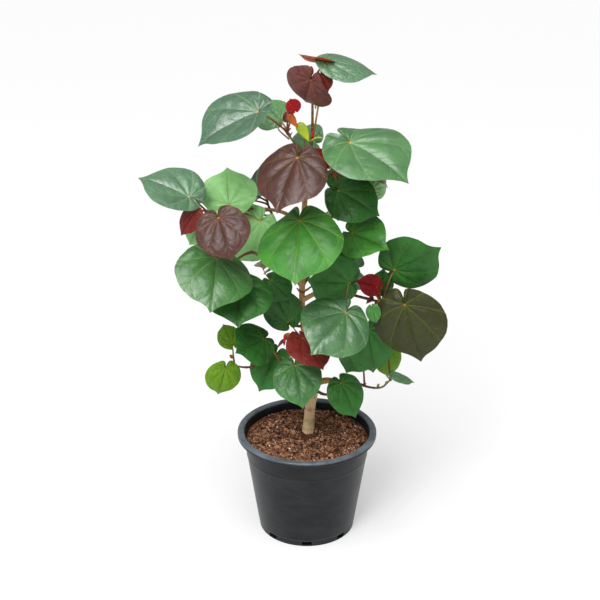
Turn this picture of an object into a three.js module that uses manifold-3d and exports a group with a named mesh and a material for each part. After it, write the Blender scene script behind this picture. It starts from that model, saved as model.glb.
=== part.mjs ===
// A potted sea hibiscus with heart-shaped leaves, green, bronze and purple, in a black nursery pot.
// Millimetres, +Z up, the photograph's viewer on the -Y side. The origin is the middle of the pot's
// flat underside.
import * as THREE from "three";
import { mergeVertices } from "three/addons/utils/BufferGeometryUtils.js";
import Module from "manifold-3d";

const wasm = await Module();
wasm.setup();

const RIM_RADIUS = 150;
const BASE_RADIUS = 104;
const POT_HEIGHT = 230;
const POT_WALL = 3;
const LIP_DEPTH = 10;
const POT_FLOOR = 13;
const FOOT_HEIGHT = 14;
const NOTCHES = 8;
const NOTCH = [20, 24, 12]; // wide, deep, high
// The wall's outer radius at each height: base, foot's step, below and above the collar, under the lip.
const WALL = [
  [BASE_RADIUS, 0],
  [106, FOOT_HEIGHT],
  [128.5, 164],
  [131, 180],
  [136, POT_HEIGHT - LIP_DEPTH],
];
const SOIL_LEVEL = 213;
const SOIL_MOUND = 3;
const CLEAR = 0.3; // kept between touching pieces

const TURNED_SIDES = 36;
const TRUNK_SIDES = 10;
const BOUGH_SIDES = 7;
const TWIG_SIDES = 4;
const FLARE = 1.5; // how much wider the trunk is at the soil
const FLARE_HEIGHT = 12;

const LEAF_ANGLES = [0, 12, 38, 72, 110, 150, 180]; // of its corners from the tip, degrees
const LEAF_THICK = 1.6;
const THICK_SHARE = 1 / 80;
const STALK_TIP = 1.3; // radius of a leaf stalk at the blade
const STALK_FOOT = 2.2; // and where it leaves its stem
const STALK_FALL = 0.35; // in blade widths, how far below the blade a stalk looks for its foot
const STALK_BOW = 0.12; // how much it bows upward, by its length
const SINK = 4; // how far a stalk runs into its blade

// Leaves that grow by rule, each value from a range.
const SEED = 11;
const GOLDEN = 137.5; // degrees from one leaf to the next
const TRIES = 200; // for each leaf wanted
const WIDE = [70, 130];
const OUT = [30, 120]; // from the stem to the blade
const DROOP = [25, 65]; // degrees down
const LONG = 0.9; // of its width
const LOOKS = ["green", "dark", "bright", "green", "dark", "blue", "bronze", "purple"];
const LEAF_GAP = 7.5;
const LIMB_GAP = 4;
const EYE = new THREE.Vector3(-15, -2283, 1475); // the viewer's
const HIDDEN = 0.85; // how much of such a leaf the others hide from the viewer

// The trunk's axis from the soil to its tip: x, y, z and radius.
const TRUNK = [
  [3, 20, 213, 12.4],
  [5, 18, 252, 11.8],
  [10, 14, 300, 11.4],
  [16, 9, 333, 11],
  [12, 6, 358, 10],
  [3, 3, 400, 8.5],
  [-6, 4, 455, 7.5],
  [-11, 4, 535, 6.5],
  [-9, 0, 590, 6.2],
  [-10, 4, 660, 6],
  [-6, 4, 735, 5.5],
  [-2, 4, 800, 4.8],
  [6, 2, 850, 3.8],
  [9, 0, 900, 3],
  [9, 0, 945, 2.6],
];

// Boughs: their axes from inside the trunk to their tips.
const BOUGHS = {
  low_right: [[16, 8, 336, 8], [40, 4, 344, 7], [75, 8, 340, 4.2], [112, 12, 332, 3]],
  low_left: [[-2, 2, 428, 4.5], [-40, 0, 412, 4], [-85, -12, 398, 3.2], [-118, -22, 388, 2.6]],
  mid_right: [[-10, 2, 530, 6], [22, -2, 548, 5], [70, 6, 546, 4], [112, 6, 535, 3.2]],
  mid_left: [[-9, 2, 570, 6], [-38, 0, 592, 5], [-75, -6, 622, 4.2], [-112, -14, 642, 3.4]],
  upper_left: [[-8, 4, 690, 5], [-45, 22, 712, 4], [-95, 22, 722, 3.4], [-135, 8, 722, 3]],
  upper_right: [[-4, 4, 765, 4.5], [22, 10, 782, 3.6], [48, 14, 796, 3]],
  back_low: [[6, 4, 385, 6], [2, 30, 404, 4.8], [-6, 62, 420, 4], [-10, 92, 440, 3.2]],
  back_left: [[-10, 4, 612, 5], [-30, 36, 632, 4.2], [-52, 70, 650, 3.4], [-66, 98, 668, 3]],
  back_right: [[-10, 4, 640, 5], [14, 38, 660, 4.2], [42, 72, 676, 3.4], [60, 98, 692, 3]],
};

// Masses: the stem of each, from its bough's tip or from inside the trunk.
const STEMS = {
  top: [[9, 0, 945, 2.6], [9, -4, 968, 2.2], [8, -8, 988, 1.8]],
  upper_left: [[2, 2, 832, 3], [-14, 4, 850, 2.6], [-30, 6, 868, 2.2], [-40, 6, 884, 2]],
  upper_right: [[48, 14, 796, 3], [58, 12, 812, 2.6], [70, 0, 826, 2.2]],
  front_purple: [[0, 2, 815, 3], [-4, -26, 820, 2.6], [-8, -52, 828, 2.2]],
  front_bright: [[-6, 4, 700, 3.4], [-10, -28, 702, 3], [-12, -60, 706, 2.4]],
  left_high: [[-135, 8, 722, 3], [-158, 0, 726, 2.6], [-180, -22, 728, 2.2], [-196, -42, 734, 2]],
  left_mid: [[-112, -14, 642, 3.4], [-128, -26, 640, 2.8], [-146, -46, 634, 2.2]],
  left_low: [[-9, 2, 470, 3.2], [-34, -4, 478, 2.6], [-54, -12, 500, 2.2], [-64, -14, 530, 1.8]],
  right_high: [[-8, 4, 622, 3.6], [28, 0, 630, 3], [60, -2, 638, 2.4]],
  right_mid: [[-10, 2, 500, 3.8], [22, -22, 506, 3.2], [52, -50, 512, 2.6], [72, -66, 518, 2.2]],
  right_far: [[112, 6, 535, 3.2], [132, 0, 532, 2.8], [152, -14, 532, 2.4]],
  low_front: [[2, 2, 405, 3.6], [0, -26, 412, 3], [-6, -46, 424, 2.4], [-8, -62, 442, 2]],
  low_left: [[-118, -22, 388, 2.6], [-134, -26, 390, 2.2], [-152, -30, 396, 1.8]],
  low_inner: [[9, 4, 372, 3.2], [-22, -16, 378, 2.6], [-46, -24, 384, 2.2]],
  low_right: [[112, 12, 332, 3], [134, 4, 328, 2.4], [158, -4, 332, 2], [176, -10, 352, 1.6]],
  low_near: [[14, 10, 322, 4], [34, -24, 326, 3], [54, -42, 334, 2.2]],
  back_low: [[-10, 92, 440, 3.2], [-10, 120, 462, 2.4], [-8, 140, 492, 2]],
  back_left: [[-66, 98, 668, 3], [-82, 118, 700, 2.4], [-88, 130, 742, 2]],
  back_right: [[60, 98, 692, 3], [78, 118, 722, 2.4], [84, 128, 760, 2]],
  back_high: [[-2, 4, 790, 3.4], [-4, 32, 812, 2.8], [-6, 58, 842, 2.2], [-6, 74, 872, 1.8]],
  back_inner: [[-10, 4, 560, 3.6], [4, 40, 570, 3], [14, 72, 580, 2.4], [18, 100, 592, 2]],
};

// Leaves that show in front: mass, where the stalk joins the blade, the tip from there, blade width,
// the side faced (degrees to the right of the viewer, degrees up), fold, arch and leaf colour.
const LEAVES = [
  ["top", [35, 0, 1025], [100, 0, -15], 100, 0, 75, -0.1, 0.05, "blue"],
  ["top", [40, 0, 1025], [-60, 0, 5], 55, 20, -70, 0.1, 0.05, "orange"],
  ["top", [5, -30, 995], [-15, 30, -55], 105, 0, 45, 0.1, 0.1, "maroon"],
  ["top", [25, -10, 1000], [15, -22, -26], 36, 20, 20, 0.2, 0.1, "maroon"],
  ["upper_left", [-25, -20, 935], [-10, 20, 20], 30, 0, 22, 0.1, 0.1, "red"],
  ["upper_left", [-95, -40, 935], [-122, -20, -48], 150, 20, 75, 0.35, 0.08, "blue"],
  ["upper_left", [-55, 60, 895], [-40, 60, 25], 80, 0, 40, 0.05, 0, "pale"],
  ["upper_left", [-40, 0, 910], [5, 0, 20], 20, 0, 20, 0.4, 0.1, "maroon"],
  ["front_purple", [-20, -110, 865], [-40, -80, -75], 135, -20, 30, 0, 0.1, "purple"],
  ["front_bright", [-15, -110, 740], [-15, -110, -75], 165, -20, 40, -0.15, 0.1, "bright"],
  ["upper_right", [80, -60, 880], [110, -80, -38], 185, 0, 75, 0.15, 0.1, "pale"],
  ["upper_right", [15, 70, 845], [-50, 55, 0], 80, 0, 22, 0, 0.05, "dark"],
  ["upper_right", [15, -10, 845], [30, -5, -30], 35, 0, 22, 0.3, 0.1, "red"],
  ["upper_right", [60, -30, 775], [80, -40, -30], 100, 20, 30, 0, 0.1, "dark"],
  ["upper_right", [130, 30, 760], [35, 25, 0], 45, 0, 22, 0, 0.1, "fresh"],
  ["upper_right", [70, 30, 780], [-35, 30, 10], 50, 0, 22, 0, 0.1, "dark"],
  ["right_high", [90, -10, 680], [65, -65, -5], 100, 0, 35, 0.3, 0.1, "fresh"],
  ["right_high", [80, 25, 640], [-5, -10, -42], 50, 0, 22, 0, 0.1, "dark"],
  ["right_mid", [85, -40, 585], [-80, -40, 15], 110, 0, 0, 0, 0.1, "dark"],
  ["right_mid", [75, -110, 550], [-65, -90, -40], 140, 0, 40, 0, 0.1, "pale"],
  ["right_far", [175, -30, 610], [80, -60, 60], 120, 0, 0, 0, 0.05, "dark"],
  ["right_far", [195, -70, 550], [30, -20, -125], 150, -20, 0, 0, 0.08, "bronze"],
  ["right_far", [140, -50, 580], [-40, -5, 15], 45, 0, 22, 0.2, 0.1, "red"],
  ["right_far", [150, -10, 555], [5, -5, 50], 50, 0, 22, 0.1, 0.1, "dark"],
  ["right_far", [130, -60, 540], [10, -5, -35], 30, 0, 22, 0.1, 0.1, "green"],
  ["right_far", [125, -30, 480], [15, -10, -105], 105, 0, 22, 0, 0.1, "dark"],
  ["low_right", [115, 5, 430], [-35, -5, -70], 85, -10, 22, 0, 0.1, "green"],
  ["low_right", [172, 35, 404], [5, -5, -70], 60, 10, 22, 0, 0.1, "lime"],
  ["low_right", [180, -20, 375], [50, 0, -15], 45, 20, 85, -0.3, 0.1, "pale"],
  ["low_near", [70, -60, 370], [35, -30, -65], 80, 20, 30, 0, 0.08, "dark"],
  ["low_front", [-10, -90, 485], [45, -60, -35], 95, 40, 0, 0, 0.1, "maroon"],
  ["low_front", [-25, -60, 410], [15, -70, -55], 100, 0, 30, 0, 0.1, "green"],
  ["low_inner", [-65, -20, 415], [-40, -30, -70], 90, -20, 20, 0, 0.1, "dark"],
  ["low_inner", [-90, -50, 465], [-50, -60, 0], 95, 0, 30, 0, 0.1, "dark"],
  ["low_left", [-155, -30, 445], [-20, 30, 35], 50, 20, 20, 0, 0, "lime"],
  ["low_left", [-170, -40, 395], [-15, 0, -70], 75, 20, 20, 0, 0.1, "lime"],
  ["left_mid", [-135, -75, 595], [0, -80, -52], 130, 0, 20, 0.1, 0.1, "dark"],
  ["left_low", [-75, -40, 590], [45, -5, -40], 60, 0, 22, 0, 0.1, "dark"],
  ["left_low", [-40, -30, 495], [-30, -5, 75], 80, 0, 22, 0, 0.05, "dark"],
  ["left_mid", [-178, -100, 660], [0, -108, -55], 152, 40, 60, 0, 0.1, "green"],
  ["left_high", [-170, -120, 750], [25, -60, -60], 105, 0, 20, 0, 0.1, "purple"],
  ["left_high", [-215, -90, 755], [-35, -5, -50], 45, -20, 20, 0, 0.1, "maroon"],
  ["left_high", [-230, -70, 775], [-95, 20, 45], 130, 40, 60, 0.2, 0.05, "blue"],
  ["left_high", [-156, -20, 745], [-5, 30, 70], 115, 0, 20, 0, 0.2, "fresh"],
  ["left_high", [-95, 10, 700], [-70, -5, -85], 115, 0, 22, 0, 0.1, "fresh"],
  ["left_high", [-215, -20, 700], [-25, -5, -40], 50, -20, 22, 0.05, 0.1, "fresh"],
];

// Leaves that grow by rule on the far side: mass, how many, the middle of the fan that they fill, in
// degrees from the viewer's side round to the right, half its width, and the height they spread over.
const FANS = [
  ["back_high", 4, 180, 110, 90],
  ["back_left", 7, -130, 75, 130],
  ["back_right", 7, 130, 75, 130],
  ["back_inner", 7, 160, 80, 80],
  ["back_low", 7, 180, 115, 120],
];

// Each finish: colour and roughness.
const FINISHES = {
  pot: [0x34373a, 0.45],
  soil: [0x5c3a24, 0.95],
  bark: [0x8a6238, 0.8],
  green_leaf: [0x3f6f3a, 0.4],
  mixed_leaf: [0x5f6b45, 0.4],
  purple_leaf: [0x5a3a3c, 0.45],
};
const LEAF_FINISHES = { top: "mixed_leaf", front_purple: "purple_leaf", low_front: "purple_leaf" };

const v3 = (p) => new THREE.Vector3(p[0], p[1], p[2]);
const { degToRad: rad, radToDeg: deg, lerp } = THREE.MathUtils;

// A closed solid from a list of corners and a list of triangles.
function solid(points, faces) {
  const g = new THREE.BufferGeometry();
  const at = new Float32Array(points.flatMap((p) => p.toArray()));
  g.setAttribute("position", new THREE.BufferAttribute(at, 3));
  g.setIndex(faces.flat());
  return fromGeometry(g);
}

function fromGeometry(g) {
  g.deleteAttribute("normal");
  g.deleteAttribute("uv");
  const m = mergeVertices(g, 1e-4);
  return new wasm.Manifold(
    new wasm.Mesh({
      numProp: 3,
      vertProperties: new Float32Array(m.attributes.position.array),
      triVerts: new Uint32Array(m.index.array),
    }),
  );
}

// A named mesh from a solid, of which loose scrap is dropped.
function toMesh(name, made, finish) {
  const whole = made.decompose().sort((a, b) => b.volume() - a.volume())[0];
  const { vertProperties, triVerts, numProp } = whole.getMesh();
  const g = new THREE.BufferGeometry();
  const at = new Float32Array((vertProperties.length / numProp) * 3);
  for (let i = 0, from = 0; i < at.length; i += 3, from += numProp)
    at.set(vertProperties.subarray(from, from + 3), i);
  g.setAttribute("position", new THREE.BufferAttribute(at, 3));
  g.setIndex(new THREE.BufferAttribute(new Uint32Array(triVerts), 1));
  g.computeVertexNormals();
  const [color, roughness] = FINISHES[finish];
  const mesh = new THREE.Mesh(g, new THREE.MeshStandardMaterial({ color, roughness, metalness: 0 }));
  mesh.name = name;
  return mesh;
}

// A solid of revolution about the vertical, from a closed list of radius and height.
function turned(profile, sides) {
  const closed = [...profile, profile[0]].map(([r, z]) => new THREE.Vector2(r, z));
  return fromGeometry(new THREE.LatheGeometry(closed, sides).rotateX(Math.PI / 2));
}

// Points of x, y, z and radius along the smooth line through the given ones.
function along(axis, steps) {
  const line = new THREE.CatmullRomCurve3(axis.map(v3), false, "centripetal");
  const last = axis.length - 1;
  return Array.from({ length: steps + 1 }, (_, i) => {
    const t = (i / steps) * last;
    const j = Math.min(Math.floor(t), last - 1);
    const at = line.getPoint(i / steps);
    return [at.x, at.y, at.z, lerp(axis[j][3], axis[j + 1][3], t - j)];
  });
}

// A tapering limb through the points, with flat ends square to its line, or level ones.
function limb(points, sides, extra = 0, level = false) {
  const at = points.map(v3);
  const corners = [];
  at.forEach((p, i) => {
    const way = at[Math.min(i + 1, at.length - 1)].clone().sub(at[Math.max(i - 1, 0)]).normalize();
    if (level && (i === 0 || i === at.length - 1)) way.set(0, 0, 1);
    const side = new THREE.Vector3(1, 0.02, 0).cross(way);
    if (Math.abs(way.x) > 0.9) side.set(0, 1, 0.02).cross(way);
    side.normalize();
    const other = way.clone().cross(side);
    const r = points[i][3] + extra;
    for (let k = 0; k < sides; k++) {
      const a = (2 * Math.PI * k) / sides;
      const corner = p.clone().addScaledVector(side, r * Math.cos(a));
      corners.push(corner.addScaledVector(other, r * Math.sin(a)));
    }
  });
  return tube(corners, at.length, sides);
}

// Rings of corners skinned into one closed tube. Each ring starts where the one before it does.
function tube(corners, rings, sides) {
  for (let i = 1; i < rings; i++) {
    const ring = corners.slice(i * sides, (i + 1) * sides);
    const before = corners.slice((i - 1) * sides, i * sides);
    const twist = ring.map((_, s) =>
      before.reduce((sum, p, k) => sum + p.distanceTo(ring[(k + s) % sides]), 0),
    );
    const start = twist.indexOf(Math.min(...twist));
    ring.forEach((_, k) => (corners[i * sides + k] = ring[(k + start) % sides]));
  }
  const faces = [];
  for (let i = 0; i < rings - 1; i++)
    for (let k = 0; k < sides; k++) {
      const [a, b] = [i * sides + k, i * sides + ((k + 1) % sides)];
      faces.push([a, b, b + sides], [a, b + sides, a + sides]);
    }
  const end = (rings - 1) * sides;
  for (let k = 1; k < sides - 1; k++) faces.push([0, k + 1, k], [end, end + k, end + k + 1]);
  return solid(corners, faces);
}

// The leaf's outline: reach from the stalk's joint at an angle from the tip, in blade widths.
function reach(angle) {
  const a = Math.abs(angle);
  const body = 0.471 + 0.265 * Math.cos(a) + 0.046 * Math.cos(2 * a) - 0.0075 * Math.cos(3 * a);
  const sinus = 1 - Math.exp(-((Math.max(Math.PI - a, 0) / 0.15) ** 1.1));
  return Math.max(body * sinus + 0.13 * Math.exp(-a / 0.1), 0.05);
}

// A leaf's own directions: along the midrib, across it, and out of its upper side.
function directions(leaf) {
  const rib = v3(leaf.tip).normalize();
  const [az, el] = [rad(leaf.turn), rad(leaf.lift)];
  const face = new THREE.Vector3(Math.sin(az), -Math.cos(az), Math.tan(el));
  const up = face.addScaledVector(rib, -face.dot(rib)).normalize();
  return { rib, across: rib.clone().cross(up), up };
}

// How far the blade lies above its joint: it arches down along the midrib and folds along it.
const blade = (leaf, x, y) => -leaf.arch * leaf.long * (y / leaf.long) ** 2 + leaf.fold * Math.abs(x);

function leafOf([mass, joint, tip, wide, turn, lift, fold, arch, look]) {
  const leaf = { mass, joint, tip, wide, turn, lift, fold, arch, look, long: v3(tip).length() };
  return Object.assign(leaf, directions(leaf));
}

// The place on a leaf at an angle from its tip and a share of its reach, raised above the blade.
function onLeaf(leaf, angle, share, raised = 0) {
  const r = reach(angle) * share;
  const x = r * Math.sin(angle) * leaf.wide;
  const ahead = Math.cos(angle) > 0 ? leaf.long / reach(0) : leaf.wide;
  const y = r * Math.cos(angle) * ahead;
  return v3(leaf.joint)
    .addScaledVector(leaf.rib, y)
    .addScaledVector(leaf.across, x)
    .addScaledVector(leaf.up, blade(leaf, x, y) + raised);
}

// Whether a point comes within a gap of a leaf's blade.
function nearLeaf(leaf, point, gap) {
  const d = point.clone().sub(v3(leaf.joint));
  const [x, y, h] = [d.dot(leaf.across), d.dot(leaf.rib), d.dot(leaf.up)];
  const ahead = y > 0 ? leaf.long / reach(0) / leaf.wide : 1;
  const angle = Math.atan2(x, y / ahead);
  const r = Math.hypot(x, y / ahead);
  return r < reach(angle) * leaf.wide + gap && Math.abs(h - blade(leaf, x, y)) < gap;
}

// Where the viewer sees a point: across and up, at one unit of depth.
const seen = (p) => [(p.x - EYE.x) / (p.y - EYE.y), (p.z - EYE.z) / (p.y - EYE.y)];

// Whether a leaf hides a point from the viewer: whether the point is farther off than the leaf's joint
// and within its outline as it is seen, told by how many of its edges a level line crosses.
function hides(leaf, point) {
  if (EYE.distanceTo(point) < EYE.distanceTo(v3(leaf.joint))) return false;
  const [u, v] = seen(point);
  const crossed = leaf.outline.filter(([x1, y1], i) => {
    const [x0, y0] = leaf.outline.at(i - 1);
    return y0 > v !== y1 > v && u < x0 + ((x1 - x0) * (v - y0)) / (y1 - y0);
  });
  return crossed.length % 2 === 1;
}

// Points spread over a leaf, and along its stalk.
function samples(leaf) {
  const on = [v3(leaf.joint)];
  for (const share of [0.25, 0.5, 0.75, 1])
    for (let a = -180; a < 180; a += 180 / Math.ceil(leaf.wide * share * 0.12))
      on.push(onLeaf(leaf, rad(a), share));
  return on;
}

// A leaf's stalk, from its mass's stem up and out to the blade.
function stalk(leaf) {
  const stem = along(STEMS[leaf.mass], 12);
  const low = v3(leaf.joint);
  low.z -= STALK_FALL * leaf.wide;
  const away = (p) => v3(p).distanceTo(low);
  const foot = v3(stem.slice(2).reduce((a, b) => (away(b) < away(a) ? b : a)));
  const end = v3(leaf.joint).addScaledVector(leaf.rib, SINK);
  const bend = foot.clone().lerp(end, 0.6);
  bend.z += STALK_BOW * foot.distanceTo(end);
  const line = new THREE.QuadraticBezierCurve3(foot, bend, end);
  return [0, 0.5, 1].map((t) => [...line.getPoint(t).toArray(), lerp(STALK_FOOT, STALK_TIP, t)]);
}

// A leaf's blade as a thin closed solid.
function leafSolid(leaf) {
  const half = LEAF_ANGLES.map(rad);
  const angles = [...half, ...half.slice(1, -1).reverse().map((a) => -a)];
  const thick = Math.max(LEAF_THICK, leaf.long * THICK_SHARE);
  const n = angles.length;
  const corners = (raised) => angles.map((a) => onLeaf(leaf, a, 1, raised));
  const side = (raised) => [onLeaf(leaf, 0, 0, raised), ...corners(raised)];
  const points = [...side(thick / 2), ...side(-thick / 2)];
  const faces = [];
  for (let k = 0; k < n; k++) {
    const [a, b, under] = [1 + k, 1 + ((k + 1) % n), n + 1];
    faces.push([0, b, a], [under, under + a, under + b], [a, b, under + b], [a, under + b, under + a]);
  }
  return solid(points, faces);
}

// A repeatable run of numbers between 0 and 1.
function dice(seed) {
  let s = seed;
  return () => (s = (s * 16807) % 2147483647) / 2147483647;
}

// A leaf with the points that tell it from its neighbours, over the blade and along the stalk, and its
// outline as it is seen.
function placed(row) {
  const leaf = leafOf(row);
  const outline = Array.from({ length: 24 }, (_, i) => seen(onLeaf(leaf, rad(15 * i), 1)));
  return Object.assign(leaf, { points: samples(leaf), stalk: along(stalk(leaf), 12).slice(2).map(v3), outline });
}

// Whether a placed leaf keeps clear of the limbs and of the leaves already there.
function keepsClear(leaf, others, limbs) {
  const offLimb = ([name, x, y, z, r]) => {
    const far = (q) => Math.hypot(q.x - x, q.y - y, q.z - z) > r + LIMB_GAP;
    return leaf.points.every(far) && (name === leaf.mass || leaf.stalk.every(far));
  };
  const offLeaf = (other) => {
    const near = (a, b) => [...a.points, ...a.stalk].some((p) => nearLeaf(b, p, LEAF_GAP));
    const stalksMeet = () => leaf.stalk.some((p) => other.stalk.some((q) => p.distanceTo(q) < LEAF_GAP));
    return !near(leaf, other) && !near(other, leaf) && (leaf.mass === other.mass || !stalksMeet());
  };
  return limbs.every(offLimb) && others.every(offLeaf);
}

// The points of every limb, each with the mass whose stem it is, or "wood".
const limbPoints = [
  ...[TRUNK, ...Object.values(BOUGHS)].flatMap((axis) => along(axis, 30).map((p) => ["wood", ...p])),
  ...Object.entries(STEMS).flatMap(([name, axis]) => along(axis, 12).map((p) => [name, ...p])),
];
const leaves = LEAVES.map(placed);
const roll = dice(SEED);
const between = ([low, high]) => lerp(low, high, roll());

// The leaves of one fan: each is tried at the next golden angle, and skipped where there is no room or
// the viewer would see too much of it past the others.
function grow([mass, count, middle, half, high]) {
  const stem = along(STEMS[mass], 12);
  let grown = 0;
  for (let i = 0; grown < count && i < TRIES * count; i++) {
    const joint = v3(stem[3 + Math.floor(roll() * 10)]);
    const turn = rad(middle + half * (((i * GOLDEN) % 360) / 180 - 1));
    const out = new THREE.Vector3(Math.sin(turn), -Math.cos(turn), 0);
    const wide = between(WIDE);
    joint.addScaledVector(out, between(OUT));
    joint.z += high * (roll() - 0.35);
    const droop = rad(between(DROOP));
    const tip = out.multiplyScalar(Math.cos(droop)).setZ(-Math.sin(droop)).multiplyScalar(LONG * wide);
    const look = LOOKS[Math.floor(roll() * LOOKS.length)];
    const leaf = placed([mass, joint.toArray(), tip.toArray(), wide, deg(turn), 40, 0.05, 0.1, look]);
    const hidden = leaf.points.filter((p) => leaves.some((other) => hides(other, p))).length;
    if (hidden < HIDDEN * leaf.points.length || !keepsClear(leaf, leaves, limbPoints)) continue;
    leaves.push(leaf);
    grown++;
  }
}

for (const fan of FANS) grow(fan);

// The wall's outer radius at a height.
function wallRadius(z) {
  const above = Math.max(1, WALL.findIndex(([, high]) => high >= z));
  const [[r0, z0], [r1, z1]] = WALL.slice(above - 1, above + 1);
  return lerp(r0, r1, (z - z0) / (z1 - z0));
}

// The pot: a tapering wall with a collar under a broad lip, and a foot with drainage notches.
function pot() {
  const under = POT_HEIGHT - LIP_DEPTH;
  const inner = (z) => [wallRadius(z) - POT_WALL, z];
  let made = turned(
    [
      [0, 0], [BASE_RADIUS - 2, 0], [BASE_RADIUS, 2], [BASE_RADIUS + 1, FOOT_HEIGHT - 1],
      ...WALL.slice(1), [RIM_RADIUS - 2, under], [RIM_RADIUS, under + 1.5],
      [RIM_RADIUS, POT_HEIGHT - 4], [RIM_RADIUS - 3, POT_HEIGHT - 1], [RIM_RADIUS - 8, POT_HEIGHT],
      [RIM_RADIUS - 13, POT_HEIGHT - 1.5], inner(under + 2 - LIP_DEPTH / 2), inner(WALL[3][1]),
      inner(WALL[2][1]), inner(FOOT_HEIGHT + 8), [BASE_RADIUS - 12, POT_FLOOR], [0, POT_FLOOR],
    ],
    TURNED_SIDES,
  );
  for (let i = 0; i < NOTCHES; i++) {
    const box = new THREE.BoxGeometry(...NOTCH).toNonIndexed();
    box.translate(0, -BASE_RADIUS, NOTCH[2] / 2 - 1).rotateZ((2 * Math.PI * i) / NOTCHES);
    made = made.subtract(fromGeometry(box));
  }
  return toMesh("pot", made, "pot");
}

// The soil fills the pot to a little below its lip, and heaps slightly round the trunk.
function soil() {
  const [floor, edge, foot] = [POT_FLOOR + 0.5, SOIL_LEVEL - SOIL_MOUND, SOIL_LEVEL - CLEAR];
  const side = (z) => [wallRadius(z) - POT_WALL - 0.4, z];
  const profile = [
    [0, floor], [BASE_RADIUS - 13, floor], side(FOOT_HEIGHT + 9), side(WALL[2][1]), side(WALL[3][1]),
    side(edge), [90, SOIL_LEVEL - 2], [40, foot], [0, foot],
  ];
  return toMesh("soil", turned(profile, TURNED_SIDES), "soil");
}

// The trunk flares into its roots at the soil, where it is cut level.
function trunk(extra = 0) {
  const flare = (z) => FLARE * Math.exp(-(z - TRUNK[0][2]) / FLARE_HEIGHT);
  const points = along(TRUNK, 20).map(([x, y, z, r]) => [x, y, z, r + flare(z)]);
  points.at(-1)[2] += extra;
  return limb(points, TRUNK_SIDES, extra, true);
}

// A limb's axis drawn out past its tip.
function longer(axis, by) {
  const [a, b] = axis.slice(-2).map(v3);
  const tip = b.clone().add(b.clone().sub(a).setLength(by));
  return [...axis.slice(0, -1), [...tip.toArray(), axis.at(-1)[3]]];
}

// The masses are cut clear of the trunk and boughs, and the boughs of the trunk.
const plant = new THREE.Group();
plant.add(pot(), soil(), toMesh("trunk", trunk(), "bark"));
const gap = CLEAR + 0.1;
let wood = trunk(gap);
for (const [name, axis] of Object.entries(BOUGHS))
  plant.add(toMesh("bough_" + name, limb(along(axis, 6), BOUGH_SIDES).subtract(wood), "bark"));
for (const axis of Object.values(BOUGHS))
  wood = wood.add(limb(along(longer(axis, gap), 6), BOUGH_SIDES, gap));
for (const [name, axis] of Object.entries(STEMS)) {
  let mass = limb(along(axis, 5), TWIG_SIDES);
  for (const leaf of leaves.filter((l) => l.mass === name))
    mass = mass.add(limb(stalk(leaf), TWIG_SIDES)).add(leafSolid(leaf));
  plant.add(toMesh("foliage_" + name, mass.subtract(wood), LEAF_FINISHES[name] ?? "green_leaf"));
}

export default plant;
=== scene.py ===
import math

import bpy
import numpy as np
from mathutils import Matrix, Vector


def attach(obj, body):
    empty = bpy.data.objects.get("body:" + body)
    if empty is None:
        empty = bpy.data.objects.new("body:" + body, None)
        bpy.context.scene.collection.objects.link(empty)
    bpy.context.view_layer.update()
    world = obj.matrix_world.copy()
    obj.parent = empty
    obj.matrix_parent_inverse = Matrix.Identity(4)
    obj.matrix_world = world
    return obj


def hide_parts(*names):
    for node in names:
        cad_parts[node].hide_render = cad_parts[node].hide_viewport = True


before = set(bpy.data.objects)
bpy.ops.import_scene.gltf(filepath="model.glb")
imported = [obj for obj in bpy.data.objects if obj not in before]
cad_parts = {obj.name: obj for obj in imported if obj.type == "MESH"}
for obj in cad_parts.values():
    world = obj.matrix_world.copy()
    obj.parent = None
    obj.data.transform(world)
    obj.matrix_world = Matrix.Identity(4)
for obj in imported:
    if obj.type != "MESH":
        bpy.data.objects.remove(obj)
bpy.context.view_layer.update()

MM = 0.001

# The photograph's camera.
CAMERA_AT = (-15, -2283, 1475)
CAMERA_PITCH = 22.46  # degrees down
CAMERA_LENS, CAMERA_SENSOR = 71.76, 36  # the sensor is the image's width

# The studio: the floor's half width in metres, its glow and the light from all round, then each light's
# name, kind, place and aim in metres, strength and size.
FLOOR_HALF, FLOOR_GLOW, WORLD_LIGHT = 9, 0.37, 0.42
LIGHTS = [
    ("sky", "SUN", (-0.45, -1.2, 4), (0, 0, 0.5), 2.7, {"angle": 0.8}),
    ("key", "AREA", (-0.9, -2.2, 2.5), (0, 0, 0.6), 55, {"size": 1.2}),
]

# The pot.
RIM_RADIUS = 150
BASE_RADIUS = 104
POT_HEIGHT = 230
POT_WALL = 3
POT_FLOOR = 13
LIP_DEPTH = 10
LIP_INNER = 134.3
FOOT_HEIGHT = 14
NOTCHES = 8
NOTCH_WIDE, NOTCH_DEEP, NOTCH_HIGH = 20, 12, 11
NOTCH_COLUMNS, PLAIN_COLUMNS = 9, 30  # places round the foot, across a notch and from one to the next
NOTCH_SHADE_SHEET = 0.8  # a thin dark sheet across the bottom of each notch, standing in for the shade inside it
LEDGE = 177
WALL = [(BASE_RADIUS, 0), (106, FOOT_HEIGHT), (128.5, 164), (131, 180), (136, POT_HEIGHT - LIP_DEPTH)]

# The potting mix: how high it lies, how much lower at the wall, and its lumps as height, size and seed.
SOIL_LEVEL = 213
SOIL_MOUND = 3
SOIL_GAP = 0.4  # between the mix and the wall
SOIL_LUMPS = [(1.9, 19, 5), (1.3, 7, 6), (0.7, 2.8, 7)]
BED_RINGS, BED_COLUMNS = 96, 200
TRUNK_ROOM = 18  # about how far from the middle the grains begin
# What is strewn on it: piece, finish, how many, the least and the most radius, and how flat at most.
GRAINS = [("soil_crumbs", "crumb", 3600, (1.1, 5.6), 0.4), ("soil_perlite", "perlite", 170, (0.9, 3.4), 0.6)]
FIBRES, FIBRE_HALF, FIBRE_RADIUS = 900, (2, 8), (0.1, 0.35)

# The plant's rule, which is the solids' own.
FLARE, FLARE_HEIGHT = 1.5, 12  # of the trunk's foot
STALK_TIP, STALK_FOOT = 1.3, 2.2  # radii
STALK_FALL, STALK_BOW, STALK_BEND = 0.35, 0.12, (0.4, 0.6)
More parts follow.
